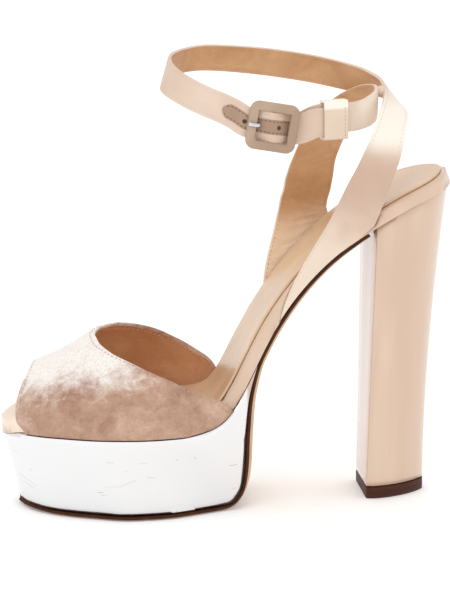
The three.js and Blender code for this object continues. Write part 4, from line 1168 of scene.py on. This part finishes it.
def vamp_stitches():
    """The rows by the topline and the peep, and the row inside that holds the lining."""
    for name, rim, inset, ends, lift, thread, length, radius in VAMP_ROWS:
        def at(part):
            turn = lerp(*ends, part)
            share = inset / max(vamp_span(turn), 8)
            back = share if rim == "peep" else 1 - share
            up = skin_normal(*vamp_at(back, turn))
            if lift is None:
                return vamp_point(back, turn, -VAMP_WALL - STITCH_LIFT), -up
            return vamp_point(back, turn, vamp_relief(back, turn) + lift), up
        sew(name, 260, at, VAMP_PITCH, thread, length, radius)


def strap_row(name, strap, edge, inside, thread, radius):
    """A row along one edge of a strap, on its lining or on its satin."""
    def at(part):
        u = lerp(0.03, 0.985, part)
        inset = STRAP_INSET / (strap.flat(u, 1.0)[1] * 2 / MM)
        share = inset if edge < 0 else 1 - inset
        swell = strap_swell(share)
        out = swell - WALL / 2 - 0.03 if inside else swell + WALL / 2 + STITCH_LIFT
        band = max(u - strap.FOOT_SHARE, 0) / (1 - strap.FOOT_SHARE)
        normal = strap.frame_at(strap.at_length(band * strap.length))[2]
        return to_row(*strap.place(u, share, out)), -normal if inside else normal
    sew(name, 400, at, STRAP_PITCH, thread, 1.3, radius)


def strap_stitches():
    """Rows along both edges: on the lining of both straps, and outside on the long one."""
    for edge in (-1, 1):
        strap_row(f"long_lining_stitches_{edge + 1}", long_strap, edge, True, thread_lining, 0.13)
        strap_row(f"long_edge_stitches_{edge + 1}", long_strap, edge, False, thread_satin, 0.12)
        strap_row(f"short_lining_stitches_{edge + 1}", short_strap, edge, True, thread_lining, 0.13)


def patch_stitches():
    """A dark row along both edges of the patch."""
    for side in (-1, 1):
        def at(part):
            along = lerp(0.05, 0.97, part)
            return patch_point(along, side * max(patch_half(along) - PATCH_INSET, 0.0), 0.35)
        sew(f"patch_stitches_{side + 1}", 120, at, PATCH_PITCH, thread_dark, 1.25, 0.2)


# Buckle and keeper

def make_buckle():
    """The satin-covered frame, and its steel prong."""
    for node, name, slot, material in (
            ("buckle_frame", "covered_buckle", "satin_cover", satin_buckle),
            ("buckle_prong", "buckle_tongue", "steel", steel)):
        piece = dressed_copy(node, quads=False, levels=0)
        smooth(piece, 60)
        finish_piece(piece, name, node, slot, [material])


KEEPER_STITCHES, KEEPER_STITCH_END, KEEPER_INSET = 8, 6.2, 0.38


def make_keeper():
    """The satin loop round both straps, stitched down along its back edge."""
    keeper = dressed_copy("keeper", levels=0)
    apply(keeper, "BEVEL", width=0.35 * MM, segments=3, limit_method="ANGLE",
          angle_limit=math.radians(50))
    smooth(keeper, 50)
    finish_piece(keeper, "strap_keeper", "keeper", "satin_keeper", [keeper_satin])
    middle = to_row(*KEEPER_AXES[0])
    face = max((vertex.co - middle).dot(KEEPER_AXES[3]) for vertex in keeper.data.vertices) / MM
    spots = []
    for i in range(KEEPER_STITCHES):
        up = lerp(-KEEPER_STITCH_END, KEEPER_STITCH_END, i / (KEEPER_STITCHES - 1))
        place = in_axes(KEEPER_AXES, KEEPER_WIDTH * KEEPER_INSET, up, face + 0.03)
        spots.append((to_row(*place), KEEPER_AXES[2].copy(), KEEPER_AXES[3].copy()))
    stitch_run("keeper_stitches", spots, thread_keeper, 1.2, 0.16)


TACK_SIZE = (4.2 * MM, 2.6 * MM, 3.0 * MM)


def make_tack():
    """The few stitches that hold the two straps together behind the ankle."""
    centre = to_row(*ring_place(0.061, -0.017, 0.75)[0])
    bpy.ops.mesh.primitive_cube_add(size=1)
    tack = bpy.context.object
    resize(tack, TACK_SIZE)
    bpy.ops.object.mode_set(mode="EDIT")
    bpy.ops.mesh.subdivide(number_cuts=3, smoothness=0.6)
    bpy.ops.object.mode_set(mode="OBJECT")
    smooth(tack, 60)
    for vertex in tack.data.vertices:
        vertex.co = vertex.co + centre
    finish_piece(tack, "crossing_tack", None, "satin", [satin])


# Floor, light, camera

def make_stage():
    """A plain white floor."""
    bpy.ops.mesh.primitive_plane_add(size=14)
    floor = bpy.context.object
    floor.name = "studio_floor"
    f = Finish("studio_floor", Roughness=0.7, Specular_IOR_Level=0.15, Emission_Strength=0.14)
    tone = f.noise(f.place(), 1.5, 2, 0.5)
    white = f.mix(tone, paint(252, 252, 252), paint(255, 255, 255))
    f.feed(Base_Color=white, Emission_Color=white)
    floor.data.materials.append(f.material)


AIM = Vector((0, 0, 0.09))
# Soft lights: name, place, size and power, in metres and watts.
LIGHTS = [
    ("key_light", (-0.55, -0.95, 1.15), (0.9, 0.7), 1.5),
    ("top_light", (0.1, 0.15, 1.5), (1.2, 1.0), 1.1),
    ("side_light", (1.2, -0.5, 0.5), (0.5, 0.9), 0.25),
]


def make_light():
    """A white studio all round, and three large soft lights."""
    world = bpy.data.worlds.new("studio_white")
    world.use_nodes = True
    world.node_tree.nodes["Background"].inputs["Color"].default_value = (1, 1, 1, 1)
    world.node_tree.nodes["Background"].inputs["Strength"].default_value = 1.0
    scene = bpy.context.scene
    scene.world = world
    for name, place, size, power in LIGHTS:
        lamp = bpy.data.lights.new(name, "AREA")
        lamp.shape = "RECTANGLE"
        lamp.size, lamp.size_y = size
        lamp.energy = power
        obj = bpy.data.objects.new(name, lamp)
        obj.location = place
        obj.rotation_mode = "QUATERNION"
        obj.rotation_quaternion = (AIM - Vector(place)).to_track_quat("-Z", "Y")
        scene.collection.objects.link(obj)
    scene.view_settings.view_transform = "Standard"
    scene.view_settings.look = "None"
    scene.view_settings.exposure = 0.0


# The photograph's view: its turn, height over level and roll in degrees, then metres.
AZIMUTH, ELEVATION, ROLL = -6.03, 11.86, -0.76
DISTANCE = 1.396
TARGET = Vector((-0.22 * MM, SIDE_SHIFT, 93.95 * MM))
SENSOR = 36.0
PIXELS_HIGH, PIXELS_PER_MM = 600, 2.15


def make_camera():
    """The photograph's view, almost square to the outer side."""
    azimuth, elevation, roll = (math.radians(a) for a in (AZIMUTH, ELEVATION, ROLL))
    back = Vector((math.sin(azimuth) * math.cos(elevation),
                   -math.cos(azimuth) * math.cos(elevation), math.sin(elevation)))
    data = bpy.data.cameras.new("photo_camera")
    data.sensor_fit = "AUTO"
    data.sensor_width = SENSOR
    data.lens = SENSOR * PIXELS_PER_MM * DISTANCE / MM / PIXELS_HIGH
    data.clip_start, data.clip_end = 0.1, 30.0
    camera = bpy.data.objects.new("photo_camera", data)
    bpy.context.scene.collection.objects.link(camera)
    camera.location = TARGET + back * DISTANCE
    right = (-back).cross(Vector((0, 0, 1))).normalized()
    up = right.cross(-back)
    turned_right = right * math.cos(roll) + up * math.sin(roll)
    turned_up = up * math.cos(roll) - right * math.sin(roll)
    camera.rotation_mode = "QUATERNION"
    camera.rotation_quaternion = Matrix((turned_right, turned_up, back)).transposed().to_quaternion()
    bpy.context.scene.camera = camera


make_sole()
make_vamp()
make_straps()
make_eye()
make_patch()
vamp_stitches()
strap_stitches()
patch_stitches()
make_holes()
make_buckle()
make_keeper()
make_tack()
make_stage()
make_light()
make_camera()
